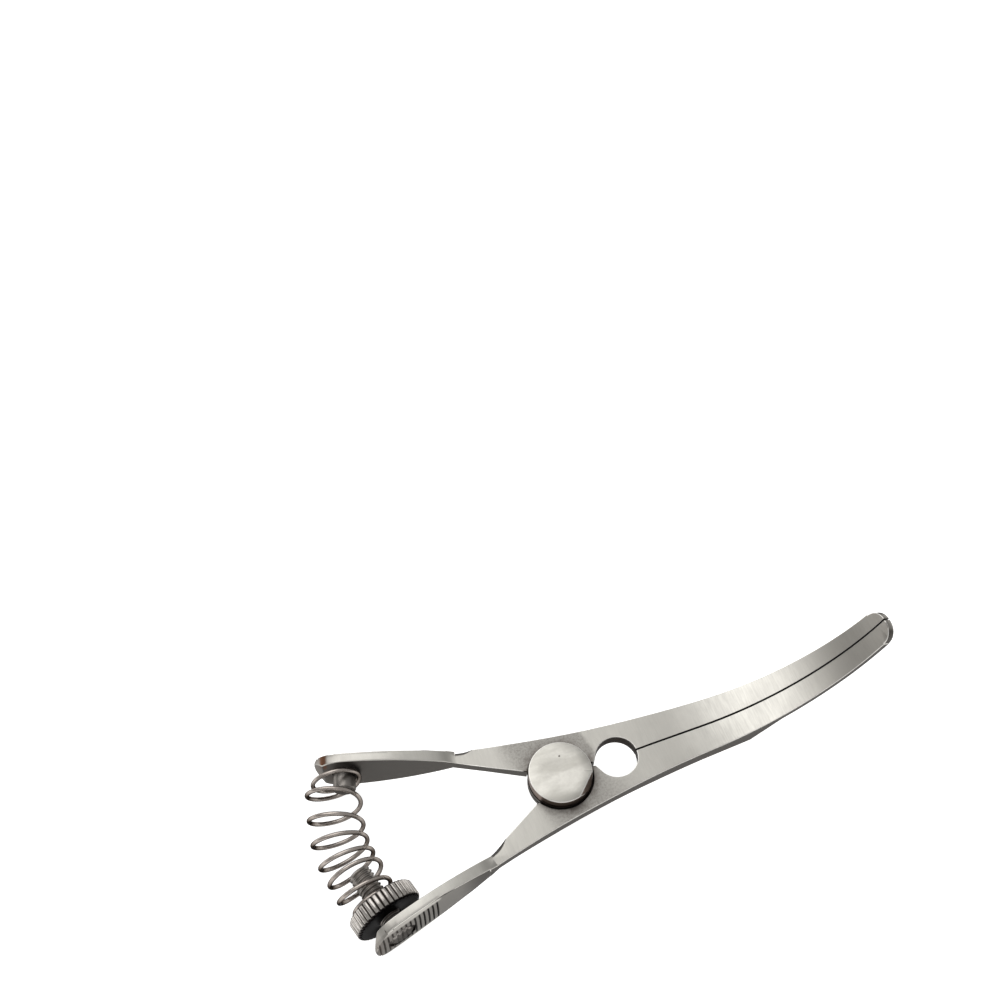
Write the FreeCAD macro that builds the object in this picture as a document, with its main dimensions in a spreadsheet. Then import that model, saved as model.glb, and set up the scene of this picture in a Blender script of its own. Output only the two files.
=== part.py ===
"""Spring bulldog clamp with curved jaws, as a parametric document.

Two forged arms meet in a half-lap joint under a wide pin cap. Each arm is a jaw, a round ear, a shank and
a ribbed finger pad. A coil spring between the pads keeps the jaws closed, and a round nut on a threaded
stud sets how hard they close. Lengths are millimetres. The pin's axis is Z, the jaws point along +X, and
Z = 0 is the middle of the flat arms.
"""
import FreeCAD, Part
import math
import os
import Sketcher
from FreeCAD import Placement, Rotation, Vector

Y_AXIS = Vector(0, 1, 0)
Z_AXIS = Vector(0, 0, 1)

UPPER = 1     # the arm on the +Y side, whose half of the lap lies on top
LOWER = -1    # the arm on the -Y side, which carries the pin

SIZES = {
    # half-lap joint, flat from joint_back to joint_front
    "joint_thickness": 2.0,
    "joint_back": 5.5,
    "joint_front": 6.6,
    "ear_radius": 4.9,
    "ear_clearance": 0.15,
    "lap_clearance": 0.05,
    "pin_radius": 1.75,
    "pin_clearance": 0.05,
    "cap_radius": 4.8,
    "cap_height": 1.9,
    "cap_chamfer": 0.25,
    "cap_facet_width": 0.6,
    "cap_facet_depth": 1.2,
    "cap_facet_turn": -46.0,
    "rivet_head_radius": 2.9,
    "rivet_head_height": 0.6,
    # relief hole ahead of the joint
    "hole_centre": 9.2,
    "hole_radius": 3.2,
    "neck_gap": 0.5,
    "neck_clearance": 0.05,
    "neck_angle": 32.0,
    "neck_lead": 0.3,
    # jaws
    "jaw_gap": 0.15,
    "jaw_thickness": 2.45,
    "jaw_full_station": 15.0,
    "jaw_station": 25.0,
    "jaw_half_width": 4.05,
    "tip_half_width": 2.55,
    "tip_lean": 0.28,
    "tip_corner": 2.3,
    "tip_thickness": 1.2,
    "bend_start": 23.5,
    "bend_radius": 31.0,
    "bend_angle": 61.5,
    "heel_start": 30.0,
    "heel_end_angle": 21.0,
    # shanks
    "outer_edge_radius": 200.0,
    "outer_edge_lead": 8.0,
    "waist_back": 15.0,
    "waist_offset": 9.0,
    "waist_width": 1.7,
    "shank_thickness": 1.7,
    "shank_station": 9.5,
    "shank_inner_angle": 150.0,
    "scoop_back": 12.9,
    "scoop_length": 4.4,
    "scoop_depth": 0.6,
    # finger pads
    "pad_angle": 15.9,
    "pad_reach": 15.4,
    "pad_radius": 4.45,
    "pad_thickness": 1.85,
    "pad_root": 1.4,
    "pad_crown": 0.45,
    "pad_crown_skim": 0.02,
    "pad_bevel_length": 1.4,
    "pad_bevel_depth": 1.3,
    "rib_first": 9.3,
    "rib_pitch": 0.76,
    "rib_count": 14,
    "rib_groove_width": 0.44,
    "rib_groove_depth": 0.3,
    "rivet_seat_radius": 2.3,
    "rivet_seat_depth": 0.35,
    # stud, nut and peg
    "stud_radius": 1.75,
    "stud_height": 9.7,
    "stud_chamfer": 0.4,
    "nut_radius": 5.3,
    "nut_height": 2.75,
    "nut_chamfer": 0.35,
    "nut_gap": 1.45,
    "nut_clearance": 0.05,
    "flute_count": 40,
    "flute_depth": 0.3,
    "flute_width": 0.34,
    "peg_radius": 1.7,
    "peg_height": 2.8,
    "peg_chamfer": 0.3,
    # coil spring
    "wire_radius": 0.34,
    "wire_sides": 6,
    "coil_radius": 3.95,
    "coil_peg_radius": 3.1,
    "coil_peg_shift": 0.95,
    "coil_peg_lean": 5.0,
    "coil_nut_radius": 2.6,
    "coil_nut_shift": 0.2,
    "coil_seat_gap": 0.09,
}

# the coil's middle line: after so many turns, the share of the way from pad to nut, and the bow outwards
COIL_STATIONS = (
    (0, 0.028, 0.0),
    (0.5, 0.031, 0.45),
    (1, 0.036, 0.9),
    (2, 0.205, 1.77),
    (3, 0.388, 2.42),
    (4, 0.541, 2.57),
    (5, 0.681, 2.24),
    (6, 0.787, 1.7),
    (7, 0.954, 0.97),
    (7.9, 0.997, 0.0),
)
STEPS_PER_TURN = 8

# how far a cutting outline runs past the solid that it trims
OVERCUT = 1.0

# how far a V groove's sides run past the face, as a share of its depth
VEE_OVERRUN = 0.25


def add_sheet(doc):
    """The driving sizes, one named cell each"""
    sheet = doc.addObject("Spreadsheet::Sheet", "Sizes")
    for row, (name, value) in enumerate(SIZES.items(), start=1):
        sheet.set(f"A{row}", name)
        sheet.set(f"B{row}", str(value))
        sheet.setAlias(f"B{row}", name)
    doc.recompute()
    return sheet


def sized(text):
    """An expression with each size's name led to its cell"""
    words = []
    word = ""
    for letter in text + " ":
        if letter.isalnum() or letter == "_":
            word += letter
            continue
        words.append(f"Sizes.{word}" if word in SIZES else word)
        words.append(letter)
        word = ""
    return "".join(words).strip()


def value_of(owner, text):
    """The number that an expression gives now"""
    return float(owner.evalExpression(sized(text)))


def new_body(doc, label):
    body = doc.addObject("PartDesign::Body", label)
    body.Label = label
    return body


def add_sketch(body, name, plane, base=("0", "0", "0"), axis=None, turn=None):
    """A sketch on one of the body's own planes, shifted by base and turned about axis"""
    sketch = body.newObject("Sketcher::SketchObject", f"{body.Name}_{name}")
    support = next(feature for feature in body.Origin.OriginFeatures if feature.Role == plane)
    sketch.AttachmentSupport = [(support, "")]
    sketch.MapMode = "FlatFace"
    if axis is not None:
        sketch.AttachmentOffset = Placement(Vector(), Rotation(axis, 1))
        sketch.setExpression("AttachmentOffset.Rotation.Angle", sized(turn))
    for coordinate, text in zip("xyz", base):
        sketch.setExpression(f"AttachmentOffset.Base.{coordinate}", sized(text))
    return sketch


def bind(sketch, kind, geometry, text, point=None):
    """A dimension held by an expression; a point's coordinates are measured from the sketch's origin"""
    number = value_of(sketch, text)
    if point is None:
        index = sketch.addConstraint(Sketcher.Constraint(kind, geometry, number))
    else:
        index = sketch.addConstraint(Sketcher.Constraint(kind, geometry, point, number))
    sketch.setExpression(f"Constraints[{index}]", sized(text))


def add_outline(sketch, corners, arcs=None):
    """A closed outline through corners; arcs maps an edge's number to its radius, centre and sense

    Each corner is a pair of expressions. Edge number n leaves corner n. An arc's sense is 1 where it runs
    anticlockwise from its first corner, and -1 where it runs clockwise.
    """
    arcs = arcs or {}
    points = [Vector(value_of(sketch, x), value_of(sketch, y), 0) for x, y in corners]
    ends = []
    for number, start in enumerate(points):
        finish = points[(number + 1) % len(points)]
        if number not in arcs:
            sketch.addGeometry(Part.LineSegment(start, finish), False)
            ends.append((1, 2))
            continue
        radius, centre, sense = arcs[number]
        middle = Vector(value_of(sketch, centre[0]), value_of(sketch, centre[1]), 0)
        first, last = (start, finish) if sense > 0 else (finish, start)
        begin = math.atan2(first.y - middle.y, first.x - middle.x)
        close = math.atan2(last.y - middle.y, last.x - middle.x)
        circle = Part.Circle(middle, Z_AXIS, value_of(sketch, radius))
        sketch.addGeometry(Part.ArcOfCircle(circle, begin, close), False)
        ends.append((1, 2) if sense > 0 else (2, 1))
    for number, (x, y) in enumerate(corners):
        following = (number + 1) % len(corners)
        sketch.addConstraint(
            Sketcher.Constraint("Coincident", number, ends[number][1], following, ends[following][0]))
        bind(sketch, "DistanceX", number, x, ends[number][0])
        bind(sketch, "DistanceY", number, y, ends[number][0])
    for number, (radius, _, _) in arcs.items():
        bind(sketch, "Radius", number, radius)
    return sketch


def add_circle(sketch, x, y, radius):
    """A full circle, its centre held by coordinates"""
    middle = Vector(value_of(sketch, x), value_of(sketch, y), 0)
    number = sketch.addGeometry(Part.Circle(middle, Z_AXIS, value_of(sketch, radius)), False)
    bind(sketch, "DistanceX", number, x, 3)
    bind(sketch, "DistanceY", number, y, 3)
    bind(sketch, "Radius", number, radius)
    return sketch


def finish_feature(body, feature, grows):
    """Recompute, and make sure that the feature changed the solid the way it should"""
    body.Tip = feature
    body.Document.recompute()
    base = feature.BaseFeature
    change = feature.Shape.Volume - (base.Shape.Volume if base is not None else 0.0)
    if (change > 0) != grows or change == 0:
        raise RuntimeError(f"{feature.Name} changed the volume by {change:.4f}")
    return feature


def add_pad(body, sketch, length, side="One side", reverse=False):
    """Material raised from a sketch"""
    pad = body.newObject("PartDesign::Pad", f"{sketch.Name}_pad")
    pad.Profile = sketch
    pad.SideType = side
    pad.Reversed = reverse
    pad.setExpression("Length", sized(length))
    return finish_feature(body, pad, grows=True)


def add_pocket(body, sketch, length=None, side="Symmetric", reverse=False):
    """Material cut away under a sketch, right through the body where no length is given"""
    pocket = body.newObject("PartDesign::Pocket", f"{sketch.Name}_pocket")
    pocket.Profile = sketch
    pocket.SideType = side
    pocket.Reversed = reverse
    if length is None:
        pocket.Type = "ThroughAll"
    else:
        pocket.setExpression("Length", sized(length))
    return finish_feature(body, pocket, grows=False)


def add_turned(body, sketch, axis="V_Axis"):
    """A solid of revolution about one of the sketch's own axes"""
    turned = body.newObject("PartDesign::Revolution", f"{sketch.Name}_turned")
    turned.Profile = sketch
    turned.ReferenceAxis = (sketch, [axis])
    turned.Angle = 360
    return finish_feature(body, turned, grows=True)


def signed(side, text):
    """A Y coordinate on an arm's own side"""
    return text if side == UPPER else f"-({text})"


def add_jaw_blank(body, side):
    """The arm's side view, drawn on XZ and raised across the arm's width

    The arm is flat at the joint, swells to the jaw ahead of it and thins to the shank behind it. The jaw's
    top follows one arc from the flat to the tip. Its underside stays flat up to the heel and then climbs to
    the thinner curved part, which keeps one thickness to the tip.
    """
    sketch = add_sketch(body, "side_view", "XZ_Plane", ("0", "0", signed(side, "-jaw_gap / 2")))
    outer = "(bend_radius + tip_thickness)"
    height = "(jaw_thickness / 2 + bend_radius)"
    centre = ("bend_start", height)
    upper = [
        ("bend_start", "jaw_thickness / 2"),
        ("jaw_full_station", "jaw_thickness / 2"),
        ("joint_front", "joint_thickness / 2"),
        ("-joint_back", "joint_thickness / 2"),
        ("-shank_station", "shank_thickness / 2"),
        ("-waist_back", "shank_thickness / 2"),
    ]
    corners = upper + [(x, f"-({y})") for x, y in reversed(upper[1:])] + [
        ("heel_start", "-jaw_thickness / 2"),
        (f"bend_start + {outer} * sin(heel_end_angle)", f"{height} - {outer} * cos(heel_end_angle)"),
        (f"bend_start + {outer} * sin(bend_angle)", f"{height} - {outer} * cos(bend_angle)"),
        ("bend_start + bend_radius * sin(bend_angle)", f"{height} - bend_radius * cos(bend_angle)"),
    ]
    underside, top = len(corners) - 3, len(corners) - 1
    add_outline(sketch, corners, {underside: (outer, centre, 1), top: ("bend_radius", centre, -1)})
    add_pad(body, sketch, "2 * waist_offset", reverse=(side == UPPER))


def trim_outer_edge(body, side):
    """The outer edge in plan: a straight taper along the jaw, then one long arc back to the waist

    The pair of tips leans a little to the lower arm's side, so the upper tip is the narrower one.
    """
    sketch = add_sketch(body, "outer_edge", "XY_Plane")
    tip = "(bend_start + (bend_radius + tip_thickness) * sin(bend_angle))"
    half_width = f"(tip_half_width - {side} * tip_lean)"
    slope = f"((jaw_half_width - {half_width}) / ({tip} - jaw_station))"
    far = signed(side, "3 * waist_offset")
    back_edge = signed(side, "waist_offset + waist_width / 2")
    corners = [
        (f"{tip} + {OVERCUT}", signed(side, f"{half_width} - {OVERCUT} * {slope}")),
        ("jaw_station", signed(side, "jaw_half_width")),
        ("-waist_back", back_edge),
        (f"-waist_back - {OVERCUT}", back_edge),
        (f"-waist_back - {OVERCUT}", far),
        (f"{tip} + {OVERCUT}", far),
    ]
    # the arc's centre lies outside the arm, nearly square to the jaw's edge
    centre = ("jaw_station - outer_edge_lead", signed(side, "jaw_half_width + outer_edge_radius"))
    add_outline(sketch, corners, {1: ("outer_edge_radius", centre, -side)})
    add_pocket(body, sketch)


def trim_inner_edge(body, side):
    """The open space between the shanks, behind the joint"""
    sketch = add_sketch(body, "inner_edge", "XY_Plane")
    reach = "(ear_radius + ear_clearance)"
    inner = signed(side, "waist_offset - waist_width / 2")
    beyond = signed(side, f"-{OVERCUT}")
    corners = [
        (f"-waist_back - {OVERCUT}", inner),
        ("-waist_back", inner),
        (f"{reach} * cos(shank_inner_angle)", signed(side, f"{reach} * sin(shank_inner_angle)")),
        (f"{reach} * cos(shank_inner_angle)", beyond),
        (f"-waist_back - {OVERCUT}", beyond),
    ]
    add_outline(sketch, corners)
    add_pocket(body, sketch)


def cut_scoop(body, side):
    """The leaf-shaped hollow that the grinding wheel leaves on the shank's top edge, on the +Y side

    The wheel's axis leans half a right angle over the edge, so its round cuts the corner to a leaf. The edge
    runs from the waist towards the ear, and scoop_back is how far behind the pin the leaf's middle lies.
    """
    if side == LOWER:
        reach = "(ear_radius + ear_clearance)"
        run = f"({reach} * cos(shank_inner_angle) + waist_back)"
        slope = f"((waist_offset - waist_width / 2 - {reach} * sin(shank_inner_angle)) / {run})"
        start = "-(waist_offset - waist_width / 2)"
    else:
        # the outer edge's arc leaves the waist steeper than its chord
        run = "(jaw_station + waist_back)"
        fall = "(waist_offset + waist_width / 2 - jaw_half_width)"
        chord = f"sqrt({run} ^ 2 + {fall} ^ 2)"
        slope = f"(-tan(atan({fall} / {run}) + asin({chord} / (2 * outer_edge_radius))))"
        start = "(waist_offset + waist_width / 2)"
    edge = Vector(1, value_of(body, slope), 0)
    wheel = "((scoop_length / 2) ^ 2 + scoop_depth ^ 2) / (2 * scoop_depth)"
    lift = f"(({wheel} - scoop_depth) * sin(45))"
    base = (
        f"-scoop_back - {lift} * {slope} / sqrt(1 + {slope} ^ 2)",
        f"{start} + (waist_back - scoop_back) * {slope} + {lift} / sqrt(1 + {slope} ^ 2)",
        f"shank_thickness / 2 + {lift}",
    )
    sketch = add_sketch(body, "scoop", "XY_Plane", base, edge, "45")
    add_circle(sketch, "0", "0", wheel)
    add_pocket(body, sketch, "4 * scoop_length")


def cut_relief_hole(body, side):
    """Half of the round hole ahead of the joint, with its neck towards the ear"""
    add_pocket(body, add_circle(add_sketch(body, "relief_hole", "XY_Plane"), "hole_centre", "0", "hole_radius"))
    sketch = add_sketch(body, "neck", "XY_Plane")
    gap = "neck_gap" if side == UPPER else "jaw_gap / 2 + neck_clearance"
    neck_end = "(hole_centre - hole_radius * cos(neck_angle))"
    beyond = signed(side, f"-{OVERCUT}")
    corners = [
        ("ear_radius", beyond),
        ("ear_radius", signed(side, gap)),
        ("hole_centre - hole_radius - neck_lead", signed(side, gap)),
        (neck_end, signed(side, "hole_radius * sin(neck_angle)")),
        (neck_end, beyond),
    ]
    add_outline(sketch, corners)
    add_pocket(body, sketch)


def add_lap(body, side):
    """The round ear on this arm's half of the thickness, and the recess for the other arm's ear"""
    level = signed(side, "lap_clearance / 2")
    ear = add_circle(add_sketch(body, "ear", "XY_Plane", ("0", "0", level)), "0", "0", "ear_radius")
    recess = add_circle(
        add_sketch(body, "ear_recess", "XY_Plane", ("0", "0", level)), "0", "0", "ear_radius + ear_clearance")
    add_pocket(body, recess, "jaw_thickness", side="One side", reverse=(side == LOWER))
    add_pad(body, ear, "joint_thickness / 2 - lap_clearance / 2", reverse=(side == LOWER))
    clearance = "pin_radius + pin_clearance" if side == UPPER else "pin_radius"
    add_pocket(body, add_circle(add_sketch(body, "pin_hole", "XY_Plane"), "0", "0", clearance))


def round_tip(body, side):
    """The blunt nose, cut square to the face where the curve ends"""
    base = ("bend_start + bend_radius * sin(bend_angle)", "0",
            "jaw_thickness / 2 + bend_radius * (1 - cos(bend_angle))")
    sketch = add_sketch(body, "nose", "XY_Plane", base, Y_AXIS, "-bend_angle")
    edge = f"(tip_half_width - {side} * tip_lean)"
    corners = [
        ("-tip_corner", signed(side, edge)),
        ("0", signed(side, f"{edge} - tip_corner")),
        (f"{OVERCUT}", signed(side, f"{edge} - tip_corner")),
        (f"{OVERCUT}", signed(side, f"jaw_half_width + {OVERCUT}")),
        ("-tip_corner", signed(side, f"jaw_half_width + {OVERCUT}")),
    ]
    centre = ("-tip_corner", signed(side, f"{edge} - tip_corner"))
    add_outline(sketch, corners, {0: ("tip_corner", centre, -side)})
    add_pocket(body, sketch, "4 * tip_thickness")


def pad_sketch(body, side, name, level="0"):
    """A sketch on the finger pad's middle plane: x runs back towards the joint, y is up"""
    base = ("-waist_back", "0", signed(side, "-waist_offset"))
    turn = "-pad_angle" if side == UPPER else "pad_angle"
    sketch = add_sketch(body, name, "XZ_Plane", base, Y_AXIS, turn)
    if level != "0":
        shift_x = f"({level}) * sin({turn})"
        shift_z = f"({level}) * cos({turn})"
        sketch.setExpression("AttachmentOffset.Base.x", sized(f"-waist_back + {shift_x}"))
        sketch.setExpression("AttachmentOffset.Base.z", sized(f"{base[2]} + {shift_z}"))
    return sketch


def add_finger_pad(body, side):
    """The paddle: its edges swell from the shank's thickness to a half-round end"""
    sketch = pad_sketch(body, side, "paddle")
    root = "(shank_thickness / 2)"
    # each edge is an arc that starts on the shank and meets the round end at its widest
    run = "(pad_reach + pad_root)"
    edge_radius = f"({run} ^ 2 + (pad_radius - {root}) ^ 2) / (2 * (pad_radius - {root}))"
    corners = [
        ("pad_root", root),
        ("-pad_reach", "pad_radius"),
        ("-pad_reach - pad_radius", "0"),
        ("-pad_reach", "-pad_radius"),
        ("pad_root", f"-{root}"),
    ]
    add_outline(sketch, corners, {
        0: (edge_radius, ("-pad_reach", f"pad_radius - {edge_radius}"), 1),
        1: ("pad_radius", ("-pad_reach", "0"), 1),
        2: ("pad_radius", ("-pad_reach", "0"), 1),
        3: (edge_radius, ("-pad_reach", f"{edge_radius} - pad_radius"), 1),
    })
    add_pad(body, sketch, "pad_thickness", side="Symmetric")


def crown_pad(body, side):
    """The pad's outer face, rounded across its width, so that it falls away to both edges"""
    base = (signed(side, "waist_offset"), "0", "-waist_back")
    turn = "-pad_angle" if side == UPPER else "pad_angle"
    sketch = add_sketch(body, "crown", "YZ_Plane", base, Y_AXIS, turn)
    crest = "(pad_thickness / 2 - pad_crown_skim)"
    radius = "((pad_radius ^ 2 + pad_crown ^ 2) / (2 * pad_crown))"
    half = f"(pad_radius + {OVERCUT})"
    edge = signed(side, f"{crest} - {radius} + sqrt({radius} ^ 2 - {half} ^ 2)")
    beyond = signed(side, f"pad_thickness / 2 + {OVERCUT}")
    corners = [(edge, half), (edge, f"-{half}"), (beyond, f"-{half}"), (beyond, half)]
    add_outline(sketch, corners, {0: (radius, (signed(side, f"{crest} - {radius}"), "0"), -side)})
    add_pocket(body, sketch, f"pad_reach + pad_radius + {OVERCUT}", side="One side")


def plan_sketch(body, side, name):
    """A sketch in plan, turned with the pad: x runs along it towards the joint"""
    base = ("-waist_back", signed(side, "waist_offset"), "0")
    return add_sketch(body, name, "XY_Plane", base, Z_AXIS, "-pad_angle" if side == UPPER else "pad_angle")


def bevel_pad_end(body, side):
    """The inner face stops short of the pad's end, where the thickness slants down to the ribbed face"""
    sketch = plan_sketch(body, side, "end_bevel")
    end = "-pad_reach - pad_radius"
    slope = "(pad_bevel_depth / pad_bevel_length)"
    below = signed(side, f"-pad_thickness / 2 - {OVERCUT}")
    corners = [
        (f"{end} - {OVERCUT}", signed(side, f"pad_bevel_depth - pad_thickness / 2 + {OVERCUT} * {slope}")),
        (f"{end} - {OVERCUT}", below),
        (f"{end} + pad_bevel_length + {OVERCUT} / {slope}", below),
    ]
    add_outline(sketch, corners)
    add_pocket(body, sketch)


def vee_mouth(width, depth):
    """Half the width and the height that a V groove's outline has outside the face it breaks out of"""
    return f"({width} / 2 * (1 + {VEE_OVERRUN}))", f"({depth} * {VEE_OVERRUN})"


def cut_ribs(body, side):
    """Upright grooves across the pad's outer face, at an even pitch"""
    sketch = plan_sketch(body, side, "groove")
    face = "pad_thickness / 2"
    half, over = vee_mouth("rib_groove_width", "rib_groove_depth")
    corners = [
        (f"-rib_first + {half}", signed(side, f"{face} + {over}")),
        ("-rib_first", signed(side, f"{face} - rib_groove_depth")),
        (f"-rib_first - {half}", signed(side, f"{face} + {over}")),
    ]
    add_outline(sketch, corners)
    groove = add_pocket(body, sketch)
    pattern = body.newObject("PartDesign::LinearPattern", f"{body.Name}_ribs")
    pattern.Originals = [groove]
    pattern.Direction = (sketch, ["H_Axis"])
    pattern.Reversed = True
    pattern.setExpression("Occurrences", sized("rib_count"))
    pattern.setExpression("Length", sized("(rib_count - 1) * rib_pitch"))
    finish_feature(body, pattern, grows=False)


def cut_rivet_seat(body, side, radius):
    """The hole for the stud or peg, with a shallow seat round its riveted end"""
    through = add_circle(pad_sketch(body, side, "rivet_hole"), "-pad_reach", "0", radius)
    add_pocket(body, through, "2 * pad_thickness")
    outward = signed(side, "-pad_thickness / 2")
    seat = add_circle(pad_sketch(body, side, "rivet_seat", outward), "-pad_reach", "0", "rivet_seat_radius")
    add_pocket(body, seat, "rivet_seat_depth", side="One side", reverse=(side == UPPER))


def make_arm(doc, label, side, rivet_radius):
    """One forged arm, from the tip of its jaw to its finger pad"""
    body = new_body(doc, label)
    add_jaw_blank(body, side)
    trim_outer_edge(body, side)
    trim_inner_edge(body, side)
    cut_scoop(body, side)
    cut_relief_hole(body, side)
    add_lap(body, side)
    round_tip(body, side)
    add_finger_pad(body, side)
    crown_pad(body, side)
    bevel_pad_end(body, side)
    cut_ribs(body, side)
    cut_rivet_seat(body, side, rivet_radius)
    return body


def make_pivot_pin(doc):
    """The pin: a wide flat cap on top, a plain shank and a riveted head under the joint"""
    body = new_body(doc, "pivot_pin")
    sketch = add_sketch(body, "profile", "XZ_Plane")
    seat = "(joint_thickness / 2 + lap_clearance)"
    top = f"({seat} + cap_height)"
    foot = "(-joint_thickness / 2)"
    corners = [
        ("0", top),
        ("0", f"{foot} - rivet_head_height"),
        ("rivet_head_radius - rivet_head_height", f"{foot} - rivet_head_height"),
        ("rivet_head_radius", foot),
        ("pin_radius", foot),
        ("pin_radius", seat),
        ("cap_radius", seat),
        ("cap_radius", f"{top} - cap_chamfer"),
        ("cap_radius - cap_chamfer", top),
    ]
    add_outline(sketch, corners)
    add_turned(body, sketch)
    facet = add_sketch(body, "facet", "XZ_Plane", ("0", "0", "0"), Y_AXIS, "cap_facet_turn")
    slope = "(cap_facet_depth / cap_facet_width)"
    corners = [
        (f"cap_radius - cap_facet_width - {OVERCUT} / {slope}", f"{top} + {OVERCUT}"),
        ("cap_radius", f"{top} - cap_facet_depth"),
        (f"cap_radius + {OVERCUT}", f"{top} - cap_facet_depth"),
        (f"cap_radius + {OVERCUT}", f"{top} + {OVERCUT}"),
    ]
    add_outline(facet, corners)
    add_pocket(body, facet, "4 * cap_radius")
    return body


def place_on_pad(body, side, height="0"):
    """Stand a turned piece on a finger pad's inner face, its own Y along the pad's inward normal"""
    turn = "-pad_angle" if side == UPPER else "pad_angle"
    lift = f"(pad_thickness / 2 + {height})"
    body.Placement = Placement(Vector(), Rotation(Z_AXIS, 1))
    along_x = f"-waist_back - pad_reach * cos(pad_angle) - {lift} * sin(pad_angle)"
    along_y = f"waist_offset + pad_reach * sin(pad_angle) - {lift} * cos(pad_angle)"
    body.setExpression("Placement.Base.x", sized(along_x))
    body.setExpression("Placement.Base.y", sized(signed(side, along_y)))
    body.setExpression("Placement.Rotation.Angle", sized(turn))


def add_round_post(body, side, radius, height, chamfer):
    """A turned post that passes through a pad and ends flush with its outer ribs"""
    sketch = add_sketch(body, "profile", "XY_Plane")
    inward = "" if side == LOWER else "-"
    corners = [
        ("0", f"-({inward}pad_thickness)"),
        (radius, f"-({inward}pad_thickness)"),
        (radius, f"{inward}({height} - {chamfer})"),
        (f"{radius} - {chamfer}", f"{inward}({height})"),
        ("0", f"{inward}({height})"),
    ]
    add_outline(sketch, corners)
    add_turned(body, sketch)
    place_on_pad(body, side)


def make_stud(doc):
    """The stud, its plain cylinder as thick as the thread's crests"""
    body = new_body(doc, "threaded_stud")
    add_round_post(body, LOWER, "stud_radius", "stud_height", "stud_chamfer")
    return body


def make_peg(doc):
    """The short plain peg that holds the spring's end on the upper pad"""
    body = new_body(doc, "spring_peg")
    add_round_post(body, UPPER, "peg_radius", "peg_height", "peg_chamfer")
    return body


def make_nut(doc):
    """The round adjusting nut: a chamfered ring with straight flutes round its rim"""
    body = new_body(doc, "adjusting_nut")
    sketch = add_sketch(body, "profile", "XY_Plane")
    bore = "(stud_radius + nut_clearance)"
    corners = [
        (bore, "0"),
        ("nut_radius - nut_chamfer", "0"),
        ("nut_radius", "nut_chamfer"),
        ("nut_radius", "nut_height - nut_chamfer"),
        ("nut_radius - nut_chamfer", "nut_height"),
        (bore, "nut_height"),
    ]
    add_outline(sketch, corners)
    add_turned(body, sketch)
    flute = add_sketch(body, "flute", "XZ_Plane")
    half, over = vee_mouth("flute_width", "flute_depth")
    corners = [
        ("nut_radius - flute_depth", "0"),
        (f"nut_radius + {over}", half),
        (f"nut_radius + {over}", f"-{half}"),
    ]
    add_outline(flute, corners)
    groove = add_pocket(body, flute)
    pattern = body.newObject("PartDesign::PolarPattern", "adjusting_nut_flutes")
    pattern.Originals = [groove]
    pattern.Axis = (flute, ["N_Axis"])
    pattern.Angle = 360
    pattern.setExpression("Occurrences", sized("flute_count"))
    finish_feature(body, pattern, grows=False)
    place_on_pad(body, LOWER, "nut_gap")
    return body


def coil_middle(owner):
    """The coil's bowed middle line, a curve whose parameter counts the turns

    It starts over the peg's pad and ends over the nut, off both centres to the open side.
    """
    turn = math.radians(value_of(owner, "pad_angle"))
    seat = value_of(owner, "pad_thickness / 2 + wire_radius + coil_seat_gap")
    drop = seat + value_of(owner, "nut_gap + nut_height")
    peg_reach, nut_reach = (value_of(owner, f"pad_reach + coil_{end}_shift") for end in ("peg", "nut"))
    back, offset = value_of(owner, "waist_back"), value_of(owner, "waist_offset")
    top = Vector(-back - peg_reach * math.cos(turn) - seat * math.sin(turn),
                 offset + peg_reach * math.sin(turn) - seat * math.cos(turn), 0)
    low = Vector(-back - nut_reach * math.cos(turn) - drop * math.sin(turn),
                 -offset - nut_reach * math.sin(turn) + drop * math.cos(turn), 0)
    middle = Part.BSplineCurve()
    middle.interpolate(
        Points=[top + (low - top) * share - Vector(bow, 0, 0) for _, share, bow in COIL_STATIONS],
        Parameters=[turns for turns, _, _ in COIL_STATIONS])
    return middle


def coil_route(owner):
    """Points along the wire's centre: a left-handed coil, wound tighter round the peg and over the nut

    The last turn lies flat on the nut. The first leans less than its pad, so one side of it stands off.
    """
    middle = coil_middle(owner)
    tilt, lean = (math.radians(value_of(owner, angle)) for angle in ("pad_angle", "coil_peg_lean"))
    peg_heading = Vector(-math.sin(lean), -math.cos(lean), 0)
    nut_heading = Vector(math.sin(tilt), -math.cos(tilt), 0)
    radius, peg_radius, nut_radius = (value_of(owner, f"coil_{name}radius") for name in ("", "peg_", "nut_"))
    total = COIL_STATIONS[-1][0]
    points = []
    for step in range(int(total * STEPS_PER_TURN) + 1):
        turns = step / STEPS_PER_TURN
        left = total - turns
        # the lean of each end holds for one turn and fades over the next
        by_peg, by_nut = (min(1, max(0, 2 - count)) for count in (turns, left))
        heading = middle.tangent(turns)[0] * (1 - by_peg - by_nut) + peg_heading * by_peg + nut_heading * by_nut
        sideways = Vector(-heading.y, heading.x, 0).normalize()
        angle = 2 * math.pi * turns
        reach = radius + (peg_radius - radius) * max(0, 1 - turns) + (nut_radius - radius) * max(0, 1 - left)
        points.append(middle.value(turns) + (sideways * math.cos(angle) - Z_AXIS * math.sin(angle)) * reach)
    return points


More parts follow.
